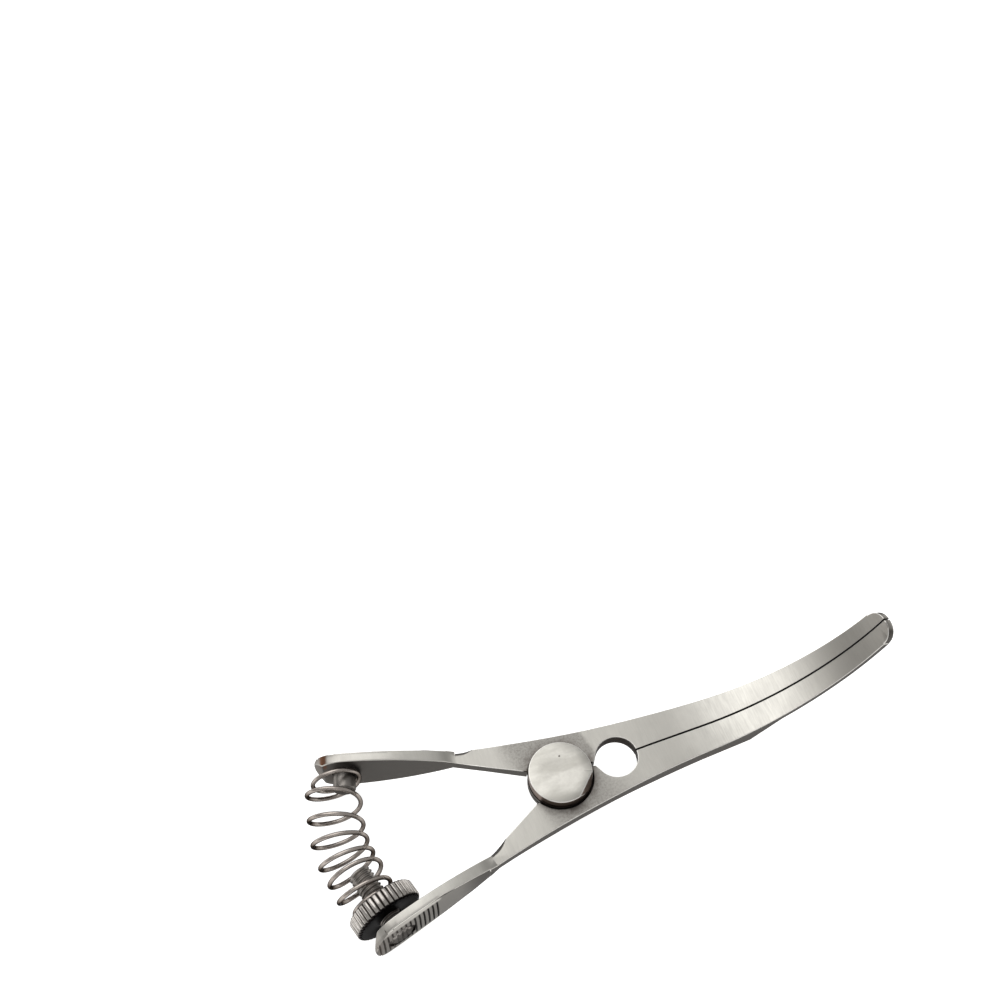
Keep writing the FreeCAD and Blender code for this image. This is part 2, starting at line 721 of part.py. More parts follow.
def make_spring(doc, sheet):
    """The coil spring: the wire swept along its route, its round section drawn with flat sides"""
    route = Part.BSplineCurve()
    route.interpolate(coil_route(sheet))
    start = route.value(route.FirstParameter)
    heading = route.tangent(route.FirstParameter)[0]
    across = heading.cross(Z_AXIS).normalize()
    up = across.cross(heading)
    sides = int(value_of(sheet, "wire_sides"))
    # the flat-sided section has the round wire's area
    step = 2 * math.pi / sides
    reach = value_of(sheet, "wire_radius") * math.sqrt(step / math.sin(step))
    corners = [start + (across * math.cos(step * number) + up * math.sin(step * number)) * reach
               for number in range(sides)]
    section = Part.makePolygon(corners + corners[:1])
    spring = doc.addObject("Part::Feature", "spring")
    spring.Label = "spring"
    spring.Shape = Part.Wire(route.toShape()).makePipeShell([section], True, True)
    return spring


def check_objects(doc, parts):
    """Stop on anything that failed to build"""
    for item in doc.Objects:
        if "Invalid" in item.State or "Error" in item.State:
            raise RuntimeError(f"{item.Name} failed: {item.State}")
    for part in parts:
        if part.Shape.isNull() or not part.Shape.isValid():
            raise RuntimeError(f"{part.Label} has no valid solid")


def write_parts(parts):
    os.makedirs("parts", exist_ok=True)
    for part in parts:
        part.Shape.exportStep(f"parts/{part.Label}.step")
        box = part.Shape.BoundBox
        print(f"{part.Label}: {part.Shape.Volume:.2f} mm3, {len(part.Shape.Solids)} solid, "
              f"x {box.XMin:.2f}..{box.XMax:.2f}, y {box.YMin:.2f}..{box.YMax:.2f}, "
              f"z {box.ZMin:.2f}..{box.ZMax:.2f}")


def main():
    doc = FreeCAD.newDocument("clamp")
    sheet = add_sheet(doc)
    parts = [
        make_arm(doc, "upper_arm", UPPER, "peg_radius"),
        make_arm(doc, "lower_arm", LOWER, "stud_radius"),
        make_pivot_pin(doc),
        make_peg(doc),
        make_stud(doc),
        make_nut(doc),
    ]
    doc.recompute()
    parts.append(make_spring(doc, sheet))
    doc.recompute()
    check_objects(doc, parts)
    write_parts(parts)


main()
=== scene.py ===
# %% [markdown]
# # A spring bulldog clamp with curved jaws
#
# This small clamp closes a blood vessel. Two forged arms cross in a half-lap joint under a wide pin cap.
# A coil spring pushes their finger pads apart, which keeps the jaws closed, and a round nut on a threaded
# stud sets how hard. The solids give every place and size. These cells add what the solids leave out:
# broken edges, a real thread, round wire, ground and blasted steel.

# %% The frame: the solids, in metres
import math

import bmesh
import bpy
import numpy as np
from mathutils import Matrix, Vector


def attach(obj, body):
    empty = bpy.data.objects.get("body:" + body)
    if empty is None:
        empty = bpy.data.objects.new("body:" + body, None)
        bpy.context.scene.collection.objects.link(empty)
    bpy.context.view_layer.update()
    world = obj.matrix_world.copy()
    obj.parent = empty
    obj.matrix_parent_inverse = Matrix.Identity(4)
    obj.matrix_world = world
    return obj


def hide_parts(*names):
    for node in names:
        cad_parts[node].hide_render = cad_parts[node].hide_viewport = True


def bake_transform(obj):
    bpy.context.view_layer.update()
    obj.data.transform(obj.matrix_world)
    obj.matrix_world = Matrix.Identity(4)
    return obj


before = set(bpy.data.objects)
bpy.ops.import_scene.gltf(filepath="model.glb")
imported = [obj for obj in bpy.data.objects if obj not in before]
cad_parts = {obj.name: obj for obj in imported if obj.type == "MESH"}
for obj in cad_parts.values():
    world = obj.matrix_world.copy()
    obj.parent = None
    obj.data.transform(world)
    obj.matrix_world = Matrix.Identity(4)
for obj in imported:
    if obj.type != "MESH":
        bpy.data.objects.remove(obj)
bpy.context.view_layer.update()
MM = 0.001

# %% [markdown]
# ## Sizes
#
# A detail has to sit on the solid that carries it, so the sizes of the turned pieces are written here once,
# in millimetres, as they are in the part. The pads lean outwards, and a turned piece stands square on its
# pad, so one small function gives any point on such a piece's axis.

# %% The sizes that the pieces share
PAD_ANGLE = math.radians(15.9)
WAIST_BACK, WAIST_OFFSET = 15.0, 9.0
PAD_REACH, PAD_THICKNESS = 15.4, 1.85
LOWER, UPPER = -1, 1


def on_pad(side, height, reach=PAD_REACH):
    """A point at a height over a finger pad's inner face

    From the waist the pad runs back by reach and leans outwards by the pad's angle. The height is then
    measured square to the pad, towards the other pad.
    """
    lift = PAD_THICKNESS / 2 + height
    back, out = reach * math.cos(PAD_ANGLE), reach * math.sin(PAD_ANGLE)
    return np.array([
        -WAIST_BACK - back - lift * math.sin(PAD_ANGLE),
        side * (WAIST_OFFSET + out - lift * math.cos(PAD_ANGLE)),
        0.0,
    ])


def pad_axis(side):
    """The way a turned piece points on a finger pad"""
    return np.array([-math.sin(PAD_ANGLE), -side * math.cos(PAD_ANGLE), 0.0])


print("pads' inner faces at", on_pad(UPPER, 0).round(2), on_pad(LOWER, 0).round(2))

# %% [markdown]
# ## Surfaces from arrays
#
# Every new piece is a grid of points that one formula gives, so a few helpers are enough for all of them.
# One turns a grid into a mesh. One carries a turned profile round an axis. A mesh made this way is exact,
# runs in a moment and can be made finer with one number, which modelling by hand cannot.

# %% From a grid of points to a mesh
def surface(name, points, closed_rows=False):
    """A mesh over a grid of points in millimetres

    Each row of the grid is a closed ring. Four neighbours make a face. With closed_rows the last ring
    joins the first. Doubled points at poles are merged, and the faces are then turned outwards.
    """
    rows, columns = points.shape[:2]
    index = np.arange(rows * columns).reshape(rows, columns)
    index = np.concatenate([index, index[:1]]) if closed_rows else index
    beside = np.roll(index, -1, axis=1)
    faces = np.stack([index[:-1], beside[:-1], beside[1:], index[1:]], axis=-1).reshape(-1, 4)
    mesh = bpy.data.meshes.new(name)
    mesh.from_pydata((points.reshape(-1, 3) * MM).tolist(), [], faces.tolist())
    piece = bpy.data.objects.new(name, mesh)
    bpy.context.collection.objects.link(piece)
    tidy_mesh(mesh)
    return piece


def tidy_mesh(mesh):
    """Merge doubled points, turn the faces outwards and shade them smoothly"""
    work = bmesh.new()
    work.from_mesh(mesh)
    bmesh.ops.remove_doubles(work, verts=work.verts, dist=1e-7)
    bmesh.ops.dissolve_degenerate(work, edges=work.edges, dist=1e-8)
    bmesh.ops.recalc_face_normals(work, faces=work.faces)
    work.to_mesh(mesh)
    work.free()
    mesh.shade_smooth()


def turned_points(profile, foot, axis, columns, radius_change=None):
    """The grid of a turned piece

    Each profile point is a radius and a height along the axis from the foot. The ring's points are the foot
    plus the axis times the height plus the radius times cosine and sine of the turn, on two directions
    square to the axis. radius_change(turn, height, radius), where given, is added to the radius.
    """
    profile = np.asarray(profile, float)
    turn = np.arange(columns) / columns * 2 * math.pi
    radius, height = np.repeat(profile[:, :1], columns, axis=1), np.repeat(profile[:, 1:], columns, axis=1)
    if radius_change is not None:
        radius = radius + radius_change(turn[None, :], height, radius)
    up = np.array([0.0, 0.0, 1.0])
    first = up if abs(axis @ up) < 0.9 else np.array([1.0, 0.0, 0.0])
    second = np.cross(axis, first)
    ring = np.cos(turn)[None, :, None] * first + np.sin(turn)[None, :, None] * second
    return foot + height[..., None] * axis + radius[..., None] * ring


print("helpers ready")

# %% [markdown]
# ## The two arms
#
# The real arms are forged, then ground on both faces, and their edges are broken by hand, so each edge
# catches the light as a thin bright line. The solids already have the arms' exact shape. A copy of each one
# is merged and its flat faces are joined up, and a Bevel modifier then breaks the sharp edges, each by a
# weight of its own. The bevel's faces get a second material, so the worn edge can be brighter than the face
# beside it.

# %% Copy an arm and break its edges
EDGE_BREAK = 0.1
SHARP_EDGE = math.radians(28)
CREASE = math.radians(11)
# along a pad from the waist: its root, whose edges turn by less than this, and its ribs
ROOT_FROM, ROOT_TO, ROOT_TURN = -8.5, 0.6, math.radians(60)
RIB_DEPTH, RIBS_FROM, RIBS_TO, RIBS_HALF_WIDTH, RIBS_MARGIN = 0.3, 8.8, 19.5, 3.9, 0.35
# handling rounds a pad's outline by this share more, from this reach on
HANDLED_MORE, HANDLED_FROM = 0.6, 6
FLAT_ENOUGH, SAME_POINT = math.radians(0.4), 2e-6


def copy_of_node(node_name, name):
    """A merged copy of a node's mesh, with its flat areas joined into whole faces"""
    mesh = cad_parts[node_name].data.copy()
    mesh.name = name
    work = bmesh.new()
    work.from_mesh(mesh)
    bmesh.ops.remove_doubles(work, verts=work.verts, dist=SAME_POINT)
    bmesh.ops.dissolve_limit(
        work, angle_limit=FLAT_ENOUGH, verts=work.verts, edges=work.edges, use_dissolve_boundaries=False)
    work.to_mesh(mesh)
    work.free()
    mesh.shade_smooth()
    piece = bpy.data.objects.new(name, mesh)
    bpy.context.collection.objects.link(piece)
    return piece


def weigh_edges(mesh, side):
    """Give each sharp edge of an arm its share of the bevel's width

    An edge is sharp where its two faces turn by more than a limit. The ribs' edges get no bevel, because
    the cutter left them sharp. The edges at a pad's root get none either, but are shaded softly. The pads'
    outlines are rounded more than the jaws', by handling. A crease that gets no bevel is marked, so that no
    shading runs over it.
    """
    work = bmesh.new()
    work.from_mesh(mesh)
    weights = work.edges.layers.float.new("bevel_weight_edge")
    back, out = Vector((-math.cos(PAD_ANGLE), side * math.sin(PAD_ANGLE), 0)), Vector(pad_axis(side)) * -1
    for edge in work.edges:
        angle = edge.calc_face_angle(0) if len(edge.link_faces) == 2 else 0
        edge.smooth = angle < CREASE
        if angle < SHARP_EDGE:
            continue
        middle = (edge.verts[0].co + edge.verts[1].co) / 2 / MM
        from_waist = middle - Vector((-WAIST_BACK, side * WAIST_OFFSET, 0))
        reach, lift = from_waist.dot(back), from_waist.dot(out)
        ribbed = RIBS_FROM < reach < RIBS_TO and lift > PAD_THICKNESS / 2 - RIB_DEPTH - RIBS_MARGIN
        at_root = ROOT_FROM < reach < ROOT_TO and angle < ROOT_TURN
        if not at_root and not (ribbed and abs(middle.z) < RIBS_HALF_WIDTH):
            edge[weights] = 1.0 if reach < 0 else 1.0 + HANDLED_MORE * min(reach / HANDLED_FROM, 1)
        edge.smooth = at_root or edge[weights] > 0
    work.to_mesh(mesh)
    work.free()


def break_edges(piece, width, segments):
    """Bevel the edges that carry a weight; the new faces take the piece's second material"""
    bevel = piece.modifiers.new("broken_edges", "BEVEL")
    bevel.width = width * MM
    bevel.segments = segments
    bevel.limit_method = "WEIGHT"
    bevel.use_clamp_overlap = False
    bevel.material = 1
    # the large flat faces decide the normals, so the bevels carry all of the turn
    normals = piece.modifiers.new("flat_face_normals", "WEIGHTED_NORMAL")
    normals.keep_sharp = True


arms = {}
for body in ("upper", "lower"):
    arm = copy_of_node(f"{body}_arm", f"arm_{body}")
    weigh_edges(arm.data, UPPER if body == "upper" else LOWER)
    break_edges(arm, EDGE_BREAK, segments=2)
    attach(arm, body)
    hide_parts(f"{body}_arm")
    arms[body] = arm
    print(arm.name, "faces before the bevel:", len(arm.data.polygons))

# %% [markdown]
# ## The pin and its cap
#
# The pin is turned from bar: a wide flat cap, a plain shank and a small head that is riveted under the
# joint. Its half section is turned once round, and one cut across the rim makes the flat that a hand-held
# grinder left there. Cutting the mesh with a plane keeps that edge straight, which moving points would not.

# %% Turn the pin and cut its flat
CAP_RADIUS, CAP_TOP, CAP_SEAT = 4.8, 2.95, 1.05
CAP_FLAT_WIDTH, CAP_FLAT_DEPTH, CAP_FLAT_TURN = 0.6, 1.2, math.radians(-46)
PIN_RADIUS, PIN_FOOT, RIVET_RADIUS, RIVET_HEIGHT = 1.75, -1.0, 2.9, 0.6
CAP_EDGE_BREAK, PIN_COLUMNS = 0.13, 128


def cut_flat(mesh, point, normal):
    """Cut away what lies beyond a plane and close the cut"""
    work = bmesh.new()
    work.from_mesh(mesh)
    everything = work.verts[:] + work.edges[:] + work.faces[:]
    cut = bmesh.ops.bisect_plane(
        work, geom=everything, plane_co=Vector(point) * MM, plane_no=Vector(normal), clear_outer=True)
    rim = [item for item in cut["geom_cut"] if isinstance(item, bmesh.types.BMEdge)]
    bmesh.ops.holes_fill(work, edges=rim)
    bmesh.ops.recalc_face_normals(work, faces=work.faces)
    work.to_mesh(mesh)
    work.free()
    mesh.shade_smooth()


def weigh_above(mesh, level):
    """Let only the sharp edges above a level be broken, and mark the others as creases"""
    work = bmesh.new()
    work.from_mesh(mesh)
    weights = work.edges.layers.float.new("bevel_weight_edge")
    for edge in work.edges:
        sharp = len(edge.link_faces) == 2 and edge.calc_face_angle(0) > SHARP_EDGE
        broken = sharp and min(vertex.co.z for vertex in edge.verts) > level * MM
        edge[weights], edge.smooth = float(broken), broken or not sharp
    work.to_mesh(mesh)
    work.free()


pin_profile = [
    (0, CAP_TOP), (CAP_RADIUS * 0.6, CAP_TOP), (CAP_RADIUS, CAP_TOP), (CAP_RADIUS, CAP_SEAT),
    (PIN_RADIUS, CAP_SEAT), (PIN_RADIUS, PIN_FOOT), (RIVET_RADIUS, PIN_FOOT),
    (RIVET_RADIUS - RIVET_HEIGHT, PIN_FOOT - RIVET_HEIGHT), (0, PIN_FOOT - RIVET_HEIGHT),
]
pin = surface("pin_with_cap", turned_points(pin_profile, np.zeros(3), np.array([0.0, 0.0, 1.0]), PIN_COLUMNS))
flat_way = np.array([math.cos(CAP_FLAT_TURN), math.sin(CAP_FLAT_TURN), 0.0])
cut_flat(
    pin.data,
    flat_way * (CAP_RADIUS - CAP_FLAT_WIDTH) + np.array([0, 0, CAP_TOP]),
    flat_way * CAP_FLAT_DEPTH + np.array([0, 0, CAP_FLAT_WIDTH]))
# the cap's lower edge stays sharp where it lies on the arms
weigh_above(pin.data, CAP_SEAT + 0.05)
break_edges(pin, CAP_EDGE_BREAK, segments=3)
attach(pin, "lower")
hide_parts("pivot_pin")
print("pin:", len(pin.data.polygons), "faces")

# %% [markdown]
# ## The threaded stud and the peg
#
# The stud carries a metric thread of 0.6 mm pitch. A thread is one wave that climbs by its pitch in each
# turn, so the radius is the crest's radius less a depth times a flattened triangle wave of height over
# pitch minus turn. That gives true ridges with shadows between them, where a bump would look painted on.
# The other pad has a short plain peg that only holds the spring's end turn in place.

# %% The stud with its thread, and its riveted end
STUD_RADIUS, STUD_HEIGHT, STUD_CHAMFER, STUD_COLUMNS = 1.75, 9.7, 0.4, 72
THREAD_PITCH, THREAD_DEPTH, THREAD_STEPS = 0.6, 0.28, 10
RIVETED_EDGE = 0.12
RIB_FIRST, RIB_PITCH, RIB_WIDTH = 9.3, 0.76, 0.44


def groove_end(points, side):
    """Carry the pad's ribs over the riveted end of a post

    The ribs' grooves repeat at one pitch along the pad. A point on the post's end face moves inwards by a V
    that is a groove deep at the middle and nothing at half a groove's width.
    """
    back = np.array([-math.cos(PAD_ANGLE), side * math.sin(PAD_ANGLE), 0.0])
    from_waist = points - np.array([-WAIST_BACK, side * WAIST_OFFSET, 0.0])
    reach, height = from_waist @ back, from_waist @ pad_axis(side) - PAD_THICKNESS / 2
    away = np.abs((reach - RIB_FIRST + RIB_PITCH / 2) % RIB_PITCH - RIB_PITCH / 2)
    depth = RIB_DEPTH * np.clip(1 - away / (RIB_WIDTH / 2), 0, 1) * (height < -PAD_THICKNESS + 0.1)
    return points + depth[..., None] * pad_axis(side)


def thread_cut(turn, height, radius):
    """How far the thread's groove goes in

    A triangle wave of height over pitch minus turn, clipped flat at crest and root, fades in over the
    first pitch above the pad's face and fades out inside the chamfer.
    """
    wave = np.abs(((height / THREAD_PITCH - turn / (2 * math.pi)) % 1.0) * 2 - 1)
    groove = np.clip(wave * 1.35 - 0.15, 0, 1)
    inside = (height > 0) & (height < STUD_HEIGHT - 0.01) & (radius > STUD_RADIUS - STUD_CHAMFER - 0.01)
    fade = np.clip(height / THREAD_PITCH, 0, 1)
    room = np.minimum(THREAD_DEPTH, THREAD_DEPTH + radius - STUD_RADIUS)
    return -np.clip(room, 0.05, THREAD_DEPTH) * groove * fade * inside


shank = np.arange(0, STUD_HEIGHT - STUD_CHAMFER, THREAD_PITCH / THREAD_STEPS)
stud_profile = (
    [(reach, -PAD_THICKNESS) for reach in np.linspace(0, STUD_RADIUS - 0.15, 12)]
    + [(STUD_RADIUS, -PAD_THICKNESS + RIVETED_EDGE)]
    + [(STUD_RADIUS, height) for height in shank]
    + [(STUD_RADIUS - STUD_CHAMFER * share, STUD_HEIGHT - STUD_CHAMFER * (1 - share))
       for share in (0, 0.34, 0.67, 1)]
    + [(STUD_RADIUS * 0.4, STUD_HEIGHT), (0, STUD_HEIGHT)]
)
stud_points = turned_points(stud_profile, on_pad(LOWER, 0), pad_axis(LOWER), STUD_COLUMNS, thread_cut)
stud = surface("stud_with_thread", groove_end(stud_points, LOWER))
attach(stud, "lower")
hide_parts("threaded_stud")
print("stud:", len(stud.data.polygons), "faces")

# %% The peg, with a rounded end
PEG_RADIUS, PEG_HEIGHT, PEG_ROUND, PEG_COLUMNS = 1.7, 2.8, 0.3, 64
quarter = np.radians(np.linspace(0, 90, 6))
peg_profile = (
    [(0, -PAD_THICKNESS), (PEG_RADIUS - RIVETED_EDGE, -PAD_THICKNESS)]
    + [(PEG_RADIUS, -PAD_THICKNESS + RIVETED_EDGE), (PEG_RADIUS, 0)]
    + [(PEG_RADIUS - PEG_ROUND + PEG_ROUND * c, PEG_HEIGHT - PEG_ROUND + PEG_ROUND * s)
       for c, s in zip(np.cos(quarter), np.sin(quarter))]
    + [(0, PEG_HEIGHT)]
)
peg = surface("peg_for_spring", turned_points(peg_profile, on_pad(UPPER, 0), pad_axis(UPPER), PEG_COLUMNS))
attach(peg, "upper")
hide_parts("spring_peg")
print("peg:", len(peg.data.polygons), "faces")

# %% [markdown]
# ## The adjusting nut
#
# A fingertip turns the nut, so its rim is cut with forty straight grooves. Between them stand broad lands
# that have been polished by use. The grid's columns are the turn and its rows the section, so the grooves
# are a change of radius that depends on the turn alone, faded out where the section leaves the rim.

# %% The nut, its rim cut with straight grooves
NUT_RADIUS, NUT_HEIGHT, NUT_CHAMFER, NUT_BORE, NUT_GAP = 5.3, 2.75, 0.35, 1.8, 1.45
FLUTES, FLUTE_DEPTH, FLUTE_BELL, LAND_FALL = 40, 0.3, 0.15, 0.07
COLUMNS_PER_FLUTE = 14


def flute_cut(turn, height, radius):
    """How far a groove goes in

    Within one pitch the groove is a bell round its middle, a third of the pitch wide, and the land between
    falls away a little to both sides. Only points near the rim move.
    """
    place = (turn / (2 * math.pi) * FLUTES) % 1.0 - 0.5
    groove = np.exp(-(place / FLUTE_BELL) ** 4) * FLUTE_DEPTH
    land = LAND_FALL * np.clip(np.abs(np.abs(place) - 0.5) * 2, 0, 1) ** 2
    near_rim = np.clip((radius - (NUT_RADIUS - NUT_CHAMFER - 0.15)) / 0.2, 0, 1)
    return -np.maximum(groove, land) * near_rim


low, high = NUT_CHAMFER, NUT_HEIGHT - NUT_CHAMFER
flat_edge, shoulder = NUT_RADIUS - NUT_CHAMFER, NUT_RADIUS - NUT_CHAMFER * 0.45
nut_profile = [
    (NUT_BORE, 0.15), (NUT_BORE + 0.15, 0), (flat_edge - 0.3, 0), (flat_edge, 0),
    (shoulder, NUT_CHAMFER * 0.4), (NUT_RADIUS, low), (NUT_RADIUS, (low + high) / 2), (NUT_RADIUS, high),
    (shoulder, NUT_HEIGHT - NUT_CHAMFER * 0.4), (flat_edge, NUT_HEIGHT), (flat_edge - 0.3, NUT_HEIGHT),
    (NUT_BORE + 0.2, NUT_HEIGHT), (NUT_BORE, NUT_HEIGHT - 0.2),
]
nut_points = turned_points(
    nut_profile, on_pad(LOWER, NUT_GAP), pad_axis(LOWER), FLUTES * COLUMNS_PER_FLUTE, flute_cut)
nut = surface("nut_with_grooves", nut_points, closed_rows=True)
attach(nut, "nut")
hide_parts("adjusting_nut")
print("nut:", len(nut.data.polygons), "faces")

# %% [markdown]
# ## The coil spring
#
# The spring is wound left-handed from round wire of 0.68 mm. Its first turn lies closed round the peg, and
# the open turns bow out to the free side, because its two seats lean away from each other. The middle line
# is a smooth curve through one station for each turn. The wire's centre circles round it once a turn, and a
# tube of circles along that line makes the wire round, where the solid has flat sides. One end moves with the
# upper pad and the other with the nut, so the wire is parted at a turn that hardly moves. A curve object with
# a round bevel would make such a wire too, but here the size and place of every circle are known, so the sawn
# ends can be rounded and the parting closed.

# %% The wire, a tube along its wound line
WIRE_RADIUS, COIL_RADIUS, COIL_PEG_RADIUS, COIL_NUT_RADIUS = 0.34, 3.95, 3.1, 2.6
COIL_SEAT_GAP, PEG_SHIFT, NUT_SHIFT, PEG_LEAN = 0.09, 0.95, 0.2, math.radians(5)
COIL_SEAT = WIRE_RADIUS + COIL_SEAT_GAP
# turns done, share of the way from the pad to the nut, and the bow outwards in millimetres
COIL_STATIONS = np.array([
    (0, 0.028, 0.0), (0.5, 0.031, 0.45), (1, 0.036, 0.9), (2, 0.205, 1.77), (3, 0.388, 2.42),
    (4, 0.541, 2.57), (5, 0.681, 2.24), (6, 0.787, 1.7), (7, 0.954, 0.97), (7.9, 0.997, 0.0),
])
WIRE_STEPS_PER_TURN, WIRE_COLUMNS, END_CIRCLES = 60, 20, 5


def smooth_through(at, values, wanted):
    """Values on the smooth curve through the stations

    A cubic runs between each two stations. Its slopes are such that the curve bends evenly through every
    station and runs out straight at both ends, which is a set of linear equations for the bends.
    """
    gap = np.diff(at)
    count = len(at)
    system = np.eye(count)
    right = np.zeros((count, values.shape[1]))
    inner = np.arange(1, count - 1)
    system[inner, inner - 1], system[inner, inner + 1] = gap[:-1], gap[1:]
    system[inner, inner] = 2 * (gap[:-1] + gap[1:])
    rise = np.diff(values, axis=0) / gap[:, None]
    right[1:-1] = 6 * np.diff(rise, axis=0)
    bend = np.linalg.solve(system, right)
    span = np.clip(np.searchsorted(at, wanted, side="right") - 1, 0, count - 2)
    width, a, b = gap[span][:, None], (at[span + 1] - wanted)[:, None], (wanted - at[span])[:, None]
    return ((bend[span] * a ** 3 + bend[span + 1] * b ** 3) / (6 * width)
            + (values[span] / width - bend[span] * width / 6) * a
            + (values[span + 1] / width - bend[span + 1] * width / 6) * b)


def wire_centre():
    """The wire's centre line: the bowed middle line plus one circle a turn, square to it"""
    top = on_pad(UPPER, COIL_SEAT, PAD_REACH + PEG_SHIFT)
    low = on_pad(LOWER, COIL_SEAT + NUT_GAP + NUT_HEIGHT, PAD_REACH + NUT_SHIFT)
    turns, share, bow = COIL_STATIONS.T
    middles = top + (low - top) * share[:, None] - np.array([1.0, 0, 0]) * bow[:, None]
    last = turns[-1]
    done = np.linspace(0, last, int(last * WIRE_STEPS_PER_TURN) + 1)
    middle = smooth_through(turns, middles, done)
    heading = np.gradient(middle, done, axis=0)
    heading /= np.linalg.norm(heading, axis=1)[:, None]
    left = last - done
    by_peg, by_nut = np.clip(2 - done, 0, 1)[:, None], np.clip(2 - left, 0, 1)[:, None]
    peg_heading = np.array([-math.sin(PEG_LEAN), -math.cos(PEG_LEAN), 0])
    heading = heading * (1 - by_peg - by_nut) + peg_heading * by_peg - pad_axis(LOWER) * by_nut
    sideways = np.stack([-heading[:, 1], heading[:, 0], np.zeros(len(done))], axis=1)
    sideways /= np.linalg.norm(sideways, axis=1)[:, None]
    reach = (COIL_RADIUS - (COIL_RADIUS - COIL_PEG_RADIUS) * np.clip(1 - done, 0, 1)
             - (COIL_RADIUS - COIL_NUT_RADIUS) * np.clip(1 - left, 0, 1))
    angle = 2 * math.pi * done
    up = np.array([0, 0, 1.0])
    return middle + (sideways * np.cos(angle)[:, None] - up * np.sin(angle)[:, None]) * reach[:, None]


def tube(centre, radii, columns):
    """Circles along a line

    Each circle lies in the plane of two directions square to the line: one is the line's direction crossed
    with its change of direction, which turns slowly on a coil, and the other is square to both.
    """
    heading = np.gradient(centre, axis=0)
    heading /= np.linalg.norm(heading, axis=1)[:, None]
    bend = np.gradient(heading, axis=0)
    across = np.cross(heading, bend)
    across /= np.linalg.norm(across, axis=1)[:, None]
    out = np.cross(across, heading)
    turn = np.arange(columns) / columns * 2 * math.pi
    ring = np.cos(turn)[None, :, None] * out[:, None] + np.sin(turn)[None, :, None] * across[:, None]
    return centre[:, None] + ring * radii[:, None, None]


centre = wire_centre()
# the sawn ends are rounded: the last circles shrink to a point
along = np.linspace(0, 1, END_CIRCLES + 1)[:-1]
end_radii = WIRE_RADIUS * np.sqrt(1 - (1 - along) ** 2)
radii = np.full(len(centre), WIRE_RADIUS)
radii[:END_CIRCLES], radii[-END_CIRCLES:] = end_radii, end_radii[::-1]
rings = tube(centre, radii, WIRE_COLUMNS)
length = np.linalg.norm(np.diff(centre, axis=0), axis=1).sum()
print("the wire is", round(float(length), 1), "mm long in", len(rings), "circles")

# %% Part the wire where it hardly moves
STILL_TURN = 6
SHARP_CONE = math.radians(70)


parting = STILL_TURN * WIRE_STEPS_PER_TURN
# each part is closed by a hollow cone, so that the two don't touch inside the wire
pole_before, pole_after = (np.tile(centre[parting + step], (1, WIRE_COLUMNS, 1)) for step in (-1, 1))
spring = surface("spring_of_round_wire", np.concatenate([rings[:parting + 1], pole_before]))
spring_foot = surface("spring_turns_on_nut", np.concatenate([pole_after, rings[parting:]]))
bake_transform(spring)
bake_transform(spring_foot)
for turns in (spring, spring_foot):
    turns.data.set_sharp_from_angle(angle=SHARP_CONE)
    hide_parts("spring")
    print(turns.name, len(turns.data.polygons), "faces")

# %% [markdown]
# ## Node groups for the finishes
#
# All the steels here share the same few effects, so each is a node group with its own inputs: fine grinding
# lines, cloudy patches, a soft spot, and the place on a finger pad. A group only gives out values. The
# shader, with its fixed numbers, stays in each material. A finish needs dozens of nodes, so a small class
# adds and links them in short calls, which then read like a recipe.

# %% A helper for groups and nodes
def new_group(name, inputs, outputs):
    """An empty node group with named sockets; an input is its name, its type and its value"""
    tree = bpy.data.node_groups.new(name, "ShaderNodeTree")
    for label, kind, value in inputs:
        socket = tree.interface.new_socket(label, in_out="INPUT", socket_type=f"NodeSocket{kind}")
        if kind == "Float":
            socket.default_value = value
    for label, kind in outputs:
        tree.interface.new_socket(label, in_out="OUTPUT", socket_type=f"NodeSocket{kind}")
    return tree, tree.nodes.new("NodeGroupInput"), tree.nodes.new("NodeGroupOutput")


